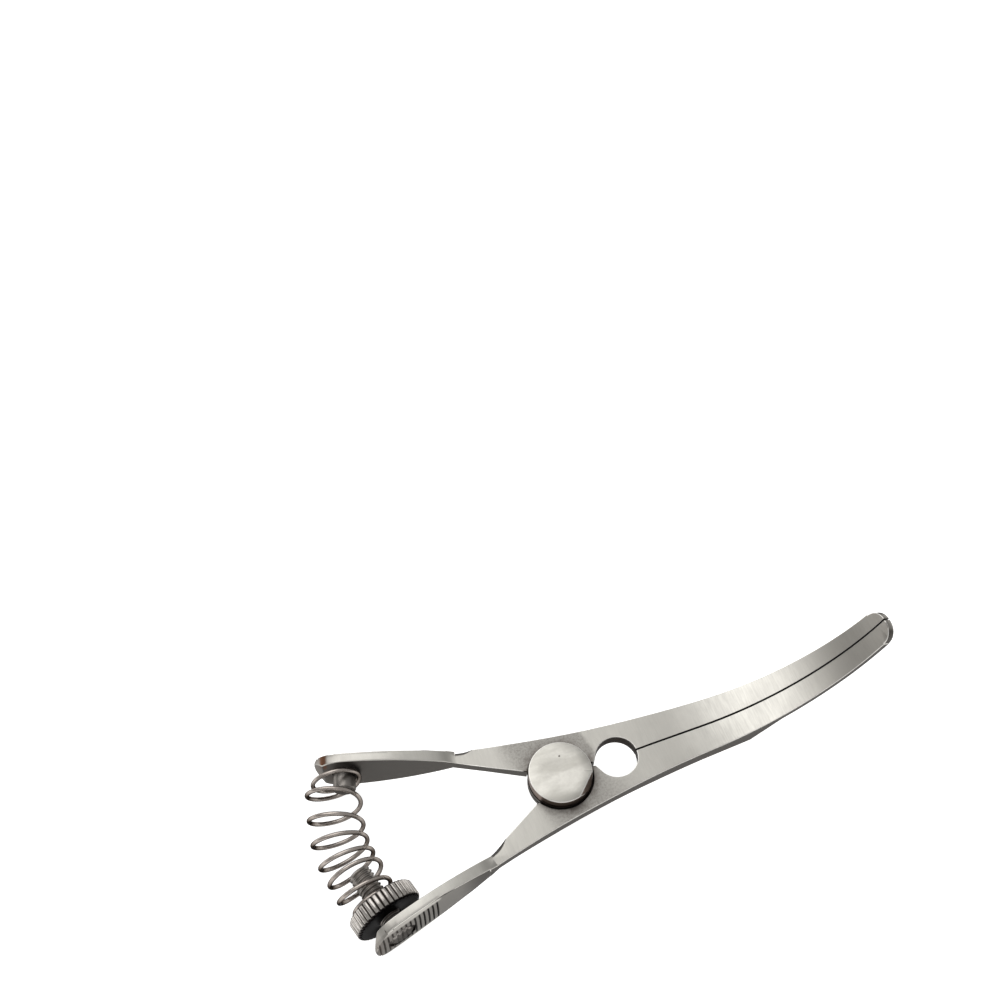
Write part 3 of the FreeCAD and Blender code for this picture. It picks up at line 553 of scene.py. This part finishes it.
class Wires:
    """Short calls to add nodes and links to one tree"""

    def __init__(self, tree):
        self.tree = tree

    def put(self, value, socket):
        """A link where value is a socket, and otherwise the socket's own number or colour"""
        if isinstance(value, bpy.types.NodeSocket):
            self.tree.links.new(value, socket)
        else:
            socket.default_value = value

    def node(self, kind, sockets, values, **settings):
        """A new node with its settings made and its inputs filled"""
        node = self.tree.nodes.new(f"ShaderNode{kind}")
        for name, setting in settings.items():
            setattr(node, name, setting)
        for socket, value in zip(sockets, values):
            self.put(value, node.inputs[socket])
        return node

    def math(self, operation, *values, clamp=False):
        return self.node("Math", range(3), values, operation=operation, use_clamp=clamp).outputs[0]

    def plus(self, first, second):
        return self.math("ADD", first, second)

    def minus(self, first, second):
        return self.math("SUBTRACT", first, second)

    def size_of(self, value):
        return self.math("ABSOLUTE", value)

    def times(self, product, *factors):
        """The product of two or more values, one after another"""
        for factor in factors:
            product = self.math("MULTIPLY", product, factor)
        return product

    def noise(self, vector, scale, detail=3.0, roughness=0.55):
        labels = ("Vector", "Scale", "Detail", "Roughness")
        return self.node("TexNoise", labels, (vector, scale, detail, roughness)).outputs["Fac"]

    def ramp(self, value, low, high, to_low=0.0, to_high=1.0):
        """A smooth step from to_low to to_high as value goes from low to high"""
        labels = ("Value", "From Min", "From Max", "To Min", "To Max")
        values = (value, low, high, to_low, to_high)
        return self.node("MapRange", labels, values, interpolation_type="SMOOTHSTEP").outputs["Result"]

    def fade(self, value, low, high):
        """A smooth step down from one to nothing as value goes from low to high"""
        return self.ramp(value, low, high, 1.0, 0.0)

    def vector(self, operation, *values):
        """A step on vectors, which gives out a number where it measures a length or a distance"""
        node = self.node("VectorMath", range(3), values, operation=operation)
        return node.outputs["Value" if operation in ("LENGTH", "DISTANCE") else "Vector"]

    def parts(self, vector):
        return self.node("SeparateXYZ", (0,), (vector,)).outputs

    def mix(self, share, first, second):
        """One colour over another; sockets 6 and 7 of this node take the colours"""
        return self.node("Mix", ("Factor", 6, 7), (share, first, second), data_type="RGBA").outputs[2]

    def group(self, tree, **values):
        return self.node("Group", values.keys(), values.values(), node_tree=tree).outputs


print("node helpers ready")

# %% The groups: lines, patches, spots and places on a pad
def make_grinding():
    """Fine parallel lines

    Noise is stretched: its vector is multiplied by a large number across the lines and a small one along
    them. A second, coarser noise makes some bands of lines deeper than others.
    """
    tree, entry, leave = new_group("Grinding_lines", [
        ("Place", "Vector", None), ("Stretch", "Vector", None),
    ], [("Height", "Float"), ("Shade", "Float")])
    wires = Wires(tree)
    place = wires.vector("MULTIPLY", entry.outputs["Place"], entry.outputs["Stretch"])
    fine = wires.noise(place, 1.0, 2.0)
    bands = wires.noise(place, 0.16, 3.0)
    wires.put(wires.plus(fine, wires.times(bands, 0.8)), leave.inputs["Height"])
    wires.put(wires.plus(wires.times(fine, 0.75), wires.times(bands, 0.25)), leave.inputs["Shade"])
    return tree


def make_patches():
    """Cloudy patches: noise of a given size, cut to a mask by a soft threshold"""
    tree, entry, leave = new_group("Cloudy_patches", [
        ("Place", "Vector", None), ("Scale", "Float", 400.0),
        ("Threshold", "Float", 0.5), ("Softness", "Float", 0.1),
    ], [("Mask", "Float")])
    wires = Wires(tree)
    cloud = wires.noise(entry.outputs["Place"], entry.outputs["Scale"], 5.0, 0.6)
    threshold, softness = entry.outputs["Threshold"], entry.outputs["Softness"]
    mask = wires.ramp(cloud, wires.minus(threshold, softness), wires.plus(threshold, softness))
    wires.put(mask, leave.inputs["Mask"])
    return tree


def make_spot():
    """A soft spot: one inside a radius from a centre and falling to nothing over a soft rim"""
    tree, entry, leave = new_group("Soft_spot", [
        ("Place", "Vector", None), ("Centre", "Vector", None),
        ("Radius", "Float", 0.001), ("Rim", "Float", 0.0005),
    ], [("Mask", "Float")])
    wires = Wires(tree)
    distance = wires.vector("DISTANCE", entry.outputs["Place"], entry.outputs["Centre"])
    radius = entry.outputs["Radius"]
    wires.put(wires.fade(distance, radius, wires.plus(radius, entry.outputs["Rim"])), leave.inputs["Mask"])
    return tree


def make_pad_places():
    """Where a point lies on a finger pad, in millimetres, the same for both pads

    Reach is how far back from the waist it lies along the pad, and Lift how far outwards from the pad's
    middle plane. Ribs is one in the bottom of each groove and nothing on the lands between.
    """
    tree, entry, leave = new_group("Pad_places", [("Place", "Vector", None)], [
        ("Reach", "Float"), ("Lift", "Float"), ("Ribs", "Float")])
    wires = Wires(tree)
    x, y, z = (wires.times(part, 1 / MM) for part in wires.parts(entry.outputs["Place"]))
    back, out = wires.minus(-WAIST_BACK, x), wires.minus(wires.size_of(y), WAIST_OFFSET)
    cosine, sine = math.cos(PAD_ANGLE), math.sin(PAD_ANGLE)
    reach = wires.plus(wires.times(back, cosine), wires.times(out, sine))
    lift = wires.minus(wires.times(out, cosine), wires.times(back, sine))
    away = wires.math("PINGPONG", wires.minus(reach, RIB_FIRST), RIB_PITCH / 2)
    ribs = wires.times(
        wires.fade(away, RIB_WIDTH * 0.22, RIB_WIDTH * 0.5),
        wires.ramp(reach, RIBS_FROM, RIBS_FROM + 0.2),
        wires.fade(reach, RIBS_TO - 0.1, RIBS_TO),
        wires.fade(wires.size_of(z), 3.2, 3.8),
        wires.ramp(lift, 0.1, 0.4))
    for value, label in ((reach, "Reach"), (lift, "Lift"), (ribs, "Ribs")):
        wires.put(value, leave.inputs[label])
    return tree


GRINDING, PATCHES, SPOT, PADS = make_grinding(), make_patches(), make_spot(), make_pad_places()
print("groups:", [tree.name for tree in bpy.data.node_groups])

# %% [markdown]
# ## The steels
#
# All pieces are stainless steel, and what tells them apart is how each surface was left. The jaws' faces are
# ground across, so their lines run over the width. Round the joint the steel is blasted and darker, with
# stains under the cap. The forged sides are darker still, as painted shade. More light and shade is painted
# into the colours: highlights on the jaws' middle and the pads' crowns, a sheen on the cap, and shade at the
# jaws' tips, in their slit, in the hole, on the cap's rim and wherever a piece faces down. The broken edges
# are polished bright, the spring wire is drawn and slightly brown, and the nut is turned and bright. Each is
# the same metal shader with its own colour, roughness and bump. Painted pictures could do this too, but noise
# and soft steps on the place need no picture, stay sharp close up and follow the piece's real size.

# %% The start of every steel
def new_steel(name, roughness_value=0.35, rim=0.6):
    """A metal material: its wires, its shader, and sockets for the place and the normal in object space

    A rim below one darkens what is seen at a low angle, as the thin grey skin on worked steel does.
    """
    material = bpy.data.materials.new(name)
    material.use_nodes = True
    wires = Wires(material.node_tree)
    shader = material.node_tree.nodes["Principled BSDF"]
    shader.inputs["Metallic"].default_value = 1.0
    shader.inputs["Roughness"].default_value = roughness_value
    shader.inputs["Specular Tint"].default_value = (rim, rim, rim, 1)
    coordinates = material.node_tree.nodes.new("ShaderNodeTexCoord")
    return material, wires, shader, coordinates.outputs["Object"], coordinates.outputs["Normal"]


def add_bump(wires, shader, height, strength, distance):
    """Feed a height to the shader's normal"""
    bump = wires.tree.nodes.new("ShaderNodeBump")
    bump.inputs["Strength"].default_value = strength
    bump.inputs["Distance"].default_value = distance * MM
    wires.put(height, bump.inputs["Height"])
    wires.put(bump.outputs["Normal"], shader.inputs["Normal"])


# colours that more than one steel uses, as the metal reflects
FACE = (0.73, 0.71, 0.655, 1)
BLASTED = (0.42, 0.405, 0.375, 1)
# the forged sides' colour, darkened as painted shade; the broken edges that face down take it too
SIDE_SHADE = (0.092, 0.086, 0.079, 1)
STAIN = (0.17, 0.15, 0.135, 1)
# near black: painted shade on the wall of the arms' hole; the cap's foot is darkened with it too
HOLE_WALL = (0.024, 0.019, 0.016, 1)
BLACK = (0.006, 0.005, 0.005, 1)
print("a ground face reflects", FACE[:3], "and a forged side", SIDE_SHADE[:3])

# %% The arms' zones: faces, sides, pads and the blasted joint
# places on the arms in metres; a pair is where a zone's border begins and where it ends
CAP_FOOT = (0.0, 0.0, CAP_SEAT * MM)
HOLE_CENTRE, HOLE_RADIUS = (0.0092, 0.0, 0.0), 0.0032
AHEAD_OF_PADS = (-0.0165, -0.0155)
JOINT_BACK, JOINT_FRONT = (-0.0068, -0.0020), (0.0068, 0.0078)
# the jaws' painted highlight band, and the span over which painted shade darkens their tips
HIGHLIGHT_BAND, SHADED_TIP_SPAN = (0.0225, 0.0295), (0.032, 0.050)


def arm_zones(wires, place, normal):
    """One where an arm shows a ground face and nothing where it shows a forged side

    Sides look across. Ahead of the pads, whatever stands upright is a side too. Over the ribs' ends the
    crowned face of a pad takes the face's colour again, as a painted highlight.
    """
    x, _, z = wires.parts(place)
    across, up = (wires.size_of(wires.parts(normal)[axis]) for axis in (1, 2))
    sideways = wires.ramp(across, 0.3, 0.6)
    upright = wires.times(wires.fade(up, 0.3, 0.55), wires.ramp(x, *AHEAD_OF_PADS))
    face = wires.minus(1.0, wires.math("MAXIMUM", sideways, upright))
    pad = wires.group(PADS, Place=place)
    outer = wires.times(wires.ramp(pad["Lift"], 0.05, 0.3), wires.ramp(pad["Reach"], 8.3, 9.0))
    # painted highlight along the high band of a pad's crowned face
    high = wires.times(wires.ramp(wires.size_of(z), 0.0030, 0.0035), outer)
    return wires.math("MAXIMUM", face, high), outer, pad


def blasted_joint(wires, place):
    """One on the blasted zone round the joint, whose two borders slope across the arms

    Towards the hole the border is crisp on the upper arm and fades slowly on the lower one.
    """
    x, y, _ = wires.parts(place)
    slanted = wires.plus(x, wires.times(y, 0.25))
    wavy = wires.plus(slanted, wires.times(wires.noise(place, 900.0, 3.0), 0.0009))
    slow = wires.ramp(y, -0.0010, 0.0, 0.0045, 0.0)
    front = wires.fade(wavy, wires.minus(JOINT_FRONT[0], slow), wires.plus(JOINT_FRONT[1], slow))
    return wires.times(wires.ramp(wavy, *JOINT_BACK), front)


print("the blasted joint runs from", JOINT_BACK[0], "to", JOINT_FRONT[1], "m")

# %% The arms' steel
# the ground face outside the painted highlight band, and the painted shade at the jaws' tips
FACE_OFF_HIGHLIGHT = (0.50, 0.485, 0.445, 1)
TIP_SHADE = (0.31, 0.293, 0.265, 1)
RIB_LAND = (0.22, 0.21, 0.195, 1)
RUST = (0.15, 0.075, 0.045, 1)


def face_colour(wires, place, joint, outer, grinding):
    """Ground across, a painted highlight mid-jaw, painted shade at the tips, blasted and stained at the joint
    """
    x = wires.parts(place)[0]
    stroked = wires.plus(x, wires.times(grinding["Height"], 0.006))
    # painted highlight over the jaws' middle, as bright as the polished pads, then painted shade towards the
    # tips
    highlight_and_polished_pads = wires.math("MAXIMUM", wires.ramp(stroked, *HIGHLIGHT_BAND), wires.fade(x, -0.0165, -0.0150))
    colour = wires.mix(highlight_and_polished_pads, FACE_OFF_HIGHLIGHT, FACE)
    colour = wires.mix(wires.ramp(x, *SHADED_TIP_SPAN), colour, TIP_SHADE)
    colour = wires.mix(wires.times(outer, 0.7), colour, BLASTED)
    clouds = wires.group(PATCHES, Place=place, Scale=260.0, Threshold=0.5, Softness=0.2)["Mask"]
    colour = wires.mix(wires.times(clouds, 0.3), colour, BLASTED)
    # the pads were polished by hand, so few lines are left on them
    lines = wires.times(wires.ramp(grinding["Shade"], 0.35, 0.65), wires.ramp(x, -0.017, -0.014, 0.08, 0.28))
    colour = wires.mix(lines, colour, BLASTED)
    colour = wires.mix(wires.times(joint, 0.9), colour, BLASTED)
    speckle = wires.ramp(wires.noise(place, 3000.0, 3.0, 0.7), 0.42, 0.62)
    colour = wires.mix(wires.times(speckle, joint, 0.4), colour, STAIN)
    # stains spread out from under the cap
    dark = wires.group(PATCHES, Place=place, Scale=620.0, Threshold=0.53, Softness=0.12)["Mask"]
    halo = wires.group(SPOT, Place=place, Centre=(0.0, 0.0, 0.001), Radius=0.0049, Rim=0.0020)["Mask"]
    stain = wires.times(halo, joint, wires.plus(dark, 0.3))
    colour = wires.mix(wires.math("MULTIPLY", stain, 0.75, clamp=True), colour, STAIN)
    # near black in a thin ring round the cap's foot
    foot = wires.group(SPOT, Place=place, Centre=CAP_FOOT, Radius=0.0049, Rim=0.0004)["Mask"]
    return wires.mix(wires.times(foot, 0.9), colour, HOLE_WALL)


def side_colour(wires, place, pad):
    """Forged sides in painted shade, paler where fingers rub the pads, black ribs and painted shade in the
    hole
    """
    handled = wires.times(wires.ramp(pad["Lift"], 0.05, 0.3), wires.ramp(pad["Reach"], 1.0, 6.0))
    side = wires.mix(handled, SIDE_SHADE, RIB_LAND)
    side = wires.mix(pad["Ribs"], side, BLACK)
    hole = wires.group(SPOT, Place=place, Centre=HOLE_CENTRE, Radius=HOLE_RADIUS, Rim=0.0003)["Mask"]
    return wires.mix(hole, side, HOLE_WALL)


def pad_marks(wires, colour, place, outer, pad):
    """Black oil round each riveted end, dull ends on the pads and a brown stain on the upper one's edge

    The distance from a riveted end is the root of the sum of two squares: reach past the post, and height.
    """
    _, y, z = wires.parts(place)
    squares = (wires.math("POWER", length, 2.0) for length in (
        wires.minus(pad["Reach"], PAD_REACH), wires.times(z, 1 / MM)))
    seat = wires.times(wires.fade(wires.math("SQRT", wires.plus(*squares)), 2.3, 2.42), outer)
    colour = wires.mix(seat, colour, BLACK)
    colour = wires.mix(wires.ramp(pad["Reach"], 11.0, 18.0, 0.0, 0.42), colour, STAIN)
    colour = wires.mix(wires.ramp(pad["Reach"], 18.4, 19.2, 0.0, 0.55), colour, STAIN)
    off_edge = wires.size_of(wires.minus(pad["Reach"], 18.3))
    on_upper = wires.times(wires.ramp(y, 0.0, 0.001), wires.ramp(z, 0.0015, 0.003))
    return wires.mix(wires.times(wires.fade(off_edge, 0.25, 0.8), on_upper), colour, RUST)


def jaw_steel():
    """Faces ground across, a blasted joint, darker forged sides and marked pads"""
    material, wires, shader, place, normal = new_steel("jaw_steel")
    face, outer, pad = arm_zones(wires, place, normal)
    grinding = wires.group(GRINDING, Place=place, Stretch=(5200.0, 420.0, 900.0))
    joint = blasted_joint(wires, place)
    ground = face_colour(wires, place, joint, outer, grinding)
    colour = wires.mix(face, side_colour(wires, place, pad), ground)
    wires.put(pad_marks(wires, colour, place, outer, pad), shader.inputs["Base Color"])
    rough = wires.plus(wires.ramp(joint, 0.0, 1.0, 0.36, 0.48), wires.times(grinding["Shade"], 0.12))
    wires.put(wires.ramp(face, 0.0, 1.0, 0.5, rough), shader.inputs["Roughness"])
    pits = wires.times(wires.noise(place, 5200.0, 2.0), joint)
    lines = wires.times(grinding["Height"], wires.ramp(joint, 0.0, 1.0, 1.0, 0.1))
    add_bump(wires, shader, wires.plus(lines, pits), 0.35, 0.012)
    return material


steels = {"jaw": jaw_steel()}
print("the arms' steel has", len(steels["jaw"].node_tree.nodes), "nodes")

# %% The steel of the broken edges
EDGE = (0.78, 0.76, 0.72, 1)
SLIT_FROM, SLIT_HALF_WIDTH = (0.0115, 0.0122), (0.00012, 0.0002)


def edge_steel():
    """The broken edges: bright above, where hands polish them, with painted shade below and in the jaws' slit
    """
    material, wires, shader, place, normal = new_steel("edge_steel", 0.34)
    x, y, z = wires.parts(place)
    wear = wires.group(PATCHES, Place=place, Scale=900.0, Threshold=0.42, Softness=0.2)["Mask"]
    bright = wires.mix(wires.ramp(wear, 0.0, 1.0, 0.35, 1.0), FACE, EDGE)
    bright = wires.mix(wires.fade(x, -0.016, -0.012), bright, FACE)
    # painted shade along the jaws' slit
    slit = wires.times(wires.fade(wires.size_of(y), *SLIT_HALF_WIDTH), wires.ramp(x, *SLIT_FROM))
    bright = wires.mix(slit, bright, BLACK)
    foot = wires.group(SPOT, Place=place, Centre=CAP_FOOT, Radius=0.0054, Rim=0.0004)["Mask"]
    bright = wires.mix(wires.times(foot, wires.fade(z, 0.0020, 0.0024)), bright, HOLE_WALL)
    pad_end = wires.ramp(wires.group(PADS, Place=place)["Reach"], 17.5, 19.0, 0.0, 0.7)
    bright = wires.mix(pad_end, bright, STAIN)
    # painted shade on the broken edges that face down
    above = wires.ramp(wires.parts(normal)[2], 0.05, 0.3)
    wires.put(wires.mix(above, SIDE_SHADE, bright), shader.inputs["Base Color"])
    return material


steels["edge"] = edge_steel()
print("the edges' steel has", len(steels["edge"].node_tree.nodes), "nodes")

# %% The cap's steel
CAP_OUT_OF_SHEEN, CAP_IN_SHEEN = (0.44, 0.425, 0.385, 1), (0.60, 0.582, 0.535, 1)
CAP_WALL_SHADE, PUNCHED = (0.17, 0.13, 0.11, 1), (0.1, 0.09, 0.08, 1)
PUNCH_MARK = (0.00075, 0.0024, CAP_TOP * MM)


def cap_steel():
    """The cap: fine cross-grained grinding, a painted sheen, a small punch mark and painted shade on its rim
    """
    material, wires, shader, place, normal = new_steel("cap_steel")
    face = wires.ramp(wires.parts(normal)[2], 0.5, 0.8)
    grinding = wires.group(GRINDING, Place=place, Stretch=(2600.0, 3900.0, 900.0))
    # a painted sheen in broad soft bands, lighter and darker
    painted_sheen = wires.noise(wires.vector("MULTIPLY", place, (90.0, 300.0, 1.0)), 1.0, 3.0)
    colour = wires.mix(wires.ramp(painted_sheen, 0.36, 0.64), CAP_OUT_OF_SHEEN, CAP_IN_SHEEN)
    colour = wires.mix(wires.times(wires.ramp(grinding["Shade"], 0.35, 0.65), 0.12), colour, BLASTED)
    # painted shade on the turned rim and the flat cut into it
    colour = wires.mix(face, CAP_WALL_SHADE, colour)
    mark = wires.group(SPOT, Place=place, Centre=PUNCH_MARK, Radius=0.00008, Rim=0.00012)["Mask"]
    wires.put(wires.mix(mark, colour, PUNCHED), shader.inputs["Base Color"])
    wires.put(wires.ramp(grinding["Shade"], 0.3, 0.7, 0.30, 0.38), shader.inputs["Roughness"])
    add_bump(wires, shader, grinding["Height"], 0.25, 0.008)
    return material


steels["cap"] = cap_steel()
print("the cap's steel has", len(steels["cap"].node_tree.nodes), "nodes")

# %% The nut's steel
NUT_BRIGHT, NUT_WORN = (0.56, 0.53, 0.495, 1), (0.30, 0.275, 0.25, 1)
NUT_GROOVE, NUT_FACE = (0.055, 0.048, 0.043, 1), (0.32, 0.30, 0.285, 1)


def nut_steel():
    """The nut: bright lands, dark down in the grooves, and painted shade on its underside"""
    material, wires, shader, place, normal = new_steel("nut_steel")
    # the distance from the nut's axis is the length of the axis crossed with the place
    from_foot = wires.vector("SUBTRACT", place, on_pad(LOWER, NUT_GAP) * MM)
    radius = wires.vector("LENGTH", wires.vector("CROSS_PRODUCT", from_foot, pad_axis(LOWER)))
    # painted shade on the underside, which faces the pad
    under = wires.fade(wires.parts(normal)[1], -0.7, -0.4)
    land = wires.ramp(radius, 0.00503, 0.00522)
    rim = wires.ramp(radius, 0.0046, 0.0049)
    clouds = wires.group(PATCHES, Place=place, Scale=700.0, Threshold=0.5, Softness=0.2)["Mask"]
    bright = wires.mix(wires.times(clouds, 0.6), NUT_BRIGHT, NUT_WORN)
    colour = wires.mix(rim, NUT_FACE, wires.mix(land, NUT_GROOVE, bright))
    wires.put(wires.mix(under, colour, BLACK), shader.inputs["Base Color"])
    wires.put(wires.ramp(land, 0.0, 1.0, 0.5, 0.26), shader.inputs["Roughness"])
    add_bump(wires, shader, clouds, 0.1, 0.01)
    return material


steels["nut"] = nut_steel()
print("the nut's steel has", len(steels["nut"].node_tree.nodes), "nodes")

# %% The turned and drawn steels
STUD_GREY, STUD_DARK = (0.44, 0.41, 0.38, 1), (0.22, 0.2, 0.185, 1)
PEG_GREY, PEG_DARK = (0.30, 0.28, 0.26, 1), (0.24, 0.22, 0.2, 1)
WIRE_BROWN, WIRE_DARK = (0.50, 0.45, 0.41, 1), (0.34, 0.295, 0.265, 1)


def turned_steel(name, colour, dark, roughness, scale, underneath=0.3, rim=0.4):
    """Turned or drawn steel: one colour with darker patches, and painted shade where it faces down"""
    material, wires, shader, place, normal = new_steel(name, rim=rim)
    clouds = wires.group(PATCHES, Place=place, Scale=scale, Threshold=0.52, Softness=0.18)["Mask"]
    grinding = wires.group(GRINDING, Place=place, Stretch=(1400.0, 2600.0, 1400.0))
    colour = wires.mix(wires.times(clouds, 0.6), colour, dark)
    # painted shade: towards a downward face the colour falls to the share given by underneath
    below = wires.ramp(wires.parts(normal)[2], -0.1, 0.9, underneath, 1.0)
    wires.put(wires.mix(below, (0, 0, 0, 1), colour), shader.inputs["Base Color"])
    rough = wires.ramp(grinding["Shade"], 0.3, 0.7, roughness - 0.05, roughness + 0.07)
    wires.put(rough, shader.inputs["Roughness"])
    add_bump(wires, shader, grinding["Height"], 0.2, 0.01)
    return material


steels["stud"] = turned_steel("stud_steel", STUD_GREY, STUD_DARK, roughness=0.34, scale=500.0)
steels["peg"] = turned_steel("peg_steel", PEG_GREY, PEG_DARK, roughness=0.36, scale=500.0)
steels["spring"] = turned_steel(
    "spring_steel", WIRE_BROWN, WIRE_DARK, roughness=0.26, scale=380.0, underneath=0.34, rim=0.1)
print("turned and drawn:", [steels[key].name for key in ("stud", "peg", "spring")])

# %% Give every piece its steels
for piece, *keys in (
        (arms["upper"], "jaw", "edge"), (arms["lower"], "jaw", "edge"), (pin, "cap", "edge"),
        (stud, "stud"), (peg, "peg"), (nut, "nut"), (spring, "spring"), (spring_foot, "spring")):
    piece.data.materials.clear()
    for key in keys:
        piece.data.materials.append(steels[key])
print("materials:", [material.name for material in bpy.data.materials])

# %% [markdown]
# ## The floor, the light and the camera
#
# A catalogue photograph shows such a tool on plain white, under a wide soft light from above. The floor is a
# plain pale sheet just under the nut's rim. Polished steel shows what stands round it, so one large soft
# light hangs over the curved jaws and gives them their bright band, which their colour also paints in. A
# smaller one fills in from the front, and a plain grey room does the rest.

# %% The floor
FLOOR_LEVEL, FLOOR_HALF = -5.45, 1500.0
FLOOR_WHITE, FLOOR_GLOW = (0.86, 0.86, 0.86, 1), 0.82


def lay_floor():
    """One square of floor, white to the camera and in reflections, which still takes a soft shadow"""
    corners = np.array([[-1, -1], [1, -1], [1, 1], [-1, 1]]) * FLOOR_HALF
    points = np.column_stack([corners, np.full(4, FLOOR_LEVEL)]) * MM
    mesh = bpy.data.meshes.new("floor")
    mesh.from_pydata(points.tolist(), [], [(0, 1, 2, 3)])
    floor = bpy.data.objects.new("floor", mesh)
    bpy.context.collection.objects.link(floor)
    material = bpy.data.materials.new("floor_white")
    material.use_nodes = True
    tree = material.node_tree
    wires = Wires(tree)
    shader = tree.nodes["Principled BSDF"]
    shader.inputs["Base Color"].default_value = FLOOR_WHITE
    shader.inputs["Roughness"].default_value = 0.9
    shader.inputs["Specular IOR Level"].default_value = 0.1
    path = tree.nodes.new("ShaderNodeLightPath")
    seen = wires.math("MAXIMUM", path.outputs["Is Camera Ray"], path.outputs["Is Glossy Ray"])
    seen = wires.math("MAXIMUM", seen, path.outputs["Is Transmission Ray"])
    shader.inputs["Emission Color"].default_value = (1, 1, 1, 1)
    wires.put(wires.math("MULTIPLY", seen, FLOOR_GLOW), shader.inputs["Emission Strength"])
    mesh.materials.append(material)


lay_floor()
print("floor at", FLOOR_LEVEL, "mm")

# %% The lights
ROOM_LEVEL = 0.45
LIT_PLACE = (10.0, 0.0, 0.0)


def soft_light(name, towards, distance, size, radiance):
    """A square soft light that faces the jaws; its power is pi times its area times the radiance it shows"""
    data = bpy.data.lights.new(name, "AREA")
    data.shape = "SQUARE"
    data.size = size * MM
    data.energy = math.pi * (size * MM) ** 2 * radiance
    light = bpy.data.objects.new(name, data)
    bpy.context.collection.objects.link(light)
    way = Vector(towards).normalized()
    light.location = (Vector(LIT_PLACE) + way * distance) * MM
    light.rotation_euler = way.to_track_quat("Z", "Y").to_euler()


def fill_room(level):
    """Plain light from all round, and white behind what the camera sees past the floor"""
    world = bpy.data.worlds.new("room")
    world.use_nodes = True
    tree = world.node_tree
    wires = Wires(tree)
    background = tree.nodes["Background"]
    background.inputs["Color"].default_value = (1, 1, 1, 1)
    seen = tree.nodes.new("ShaderNodeLightPath").outputs["Is Camera Ray"]
    wires.put(wires.ramp(seen, 0.0, 1.0, level, 1.0), background.inputs["Strength"])
    bpy.context.scene.world = world


soft_light("light_over_jaws", (-0.24, 0.5, 0.8), distance=600, size=620, radiance=1.42)
soft_light("light_from_front", (-0.3, -0.75, 0.6), distance=700, size=300, radiance=0.8)
fill_room(ROOM_LEVEL)

# %% The camera, where the photographer stood
CAMERA_PLACE = (-39.3, -78.8, 212.0)
CAMERA_LOOKS = (0.192, 0.510, -0.839)
CAMERA_RIGHT = (0.936, -0.352, 0.0)


def set_camera():
    """A camera whose axes are the view, the picture's right and the one square to both"""
    data = bpy.data.cameras.new("camera")
    data.sensor_width, data.lens = 36.0, 54.0
    data.clip_start, data.clip_end = 0.01, 10.0
    back = -Vector(CAMERA_LOOKS).normalized()
    right = Vector(CAMERA_RIGHT)
    right = (right - back * right.dot(back)).normalized()
    turn = Matrix((right, back.cross(right), back)).transposed()
    camera = bpy.data.objects.new("camera", data)
    bpy.context.collection.objects.link(camera)
    camera.matrix_world = Matrix.Translation(Vector(CAMERA_PLACE) * MM) @ turn.to_4x4()
    bpy.context.scene.camera = camera
    return camera


camera = set_camera()
bpy.context.scene.view_settings.view_transform = "Standard"
print("camera at", [round(value, 4) for value in camera.location])
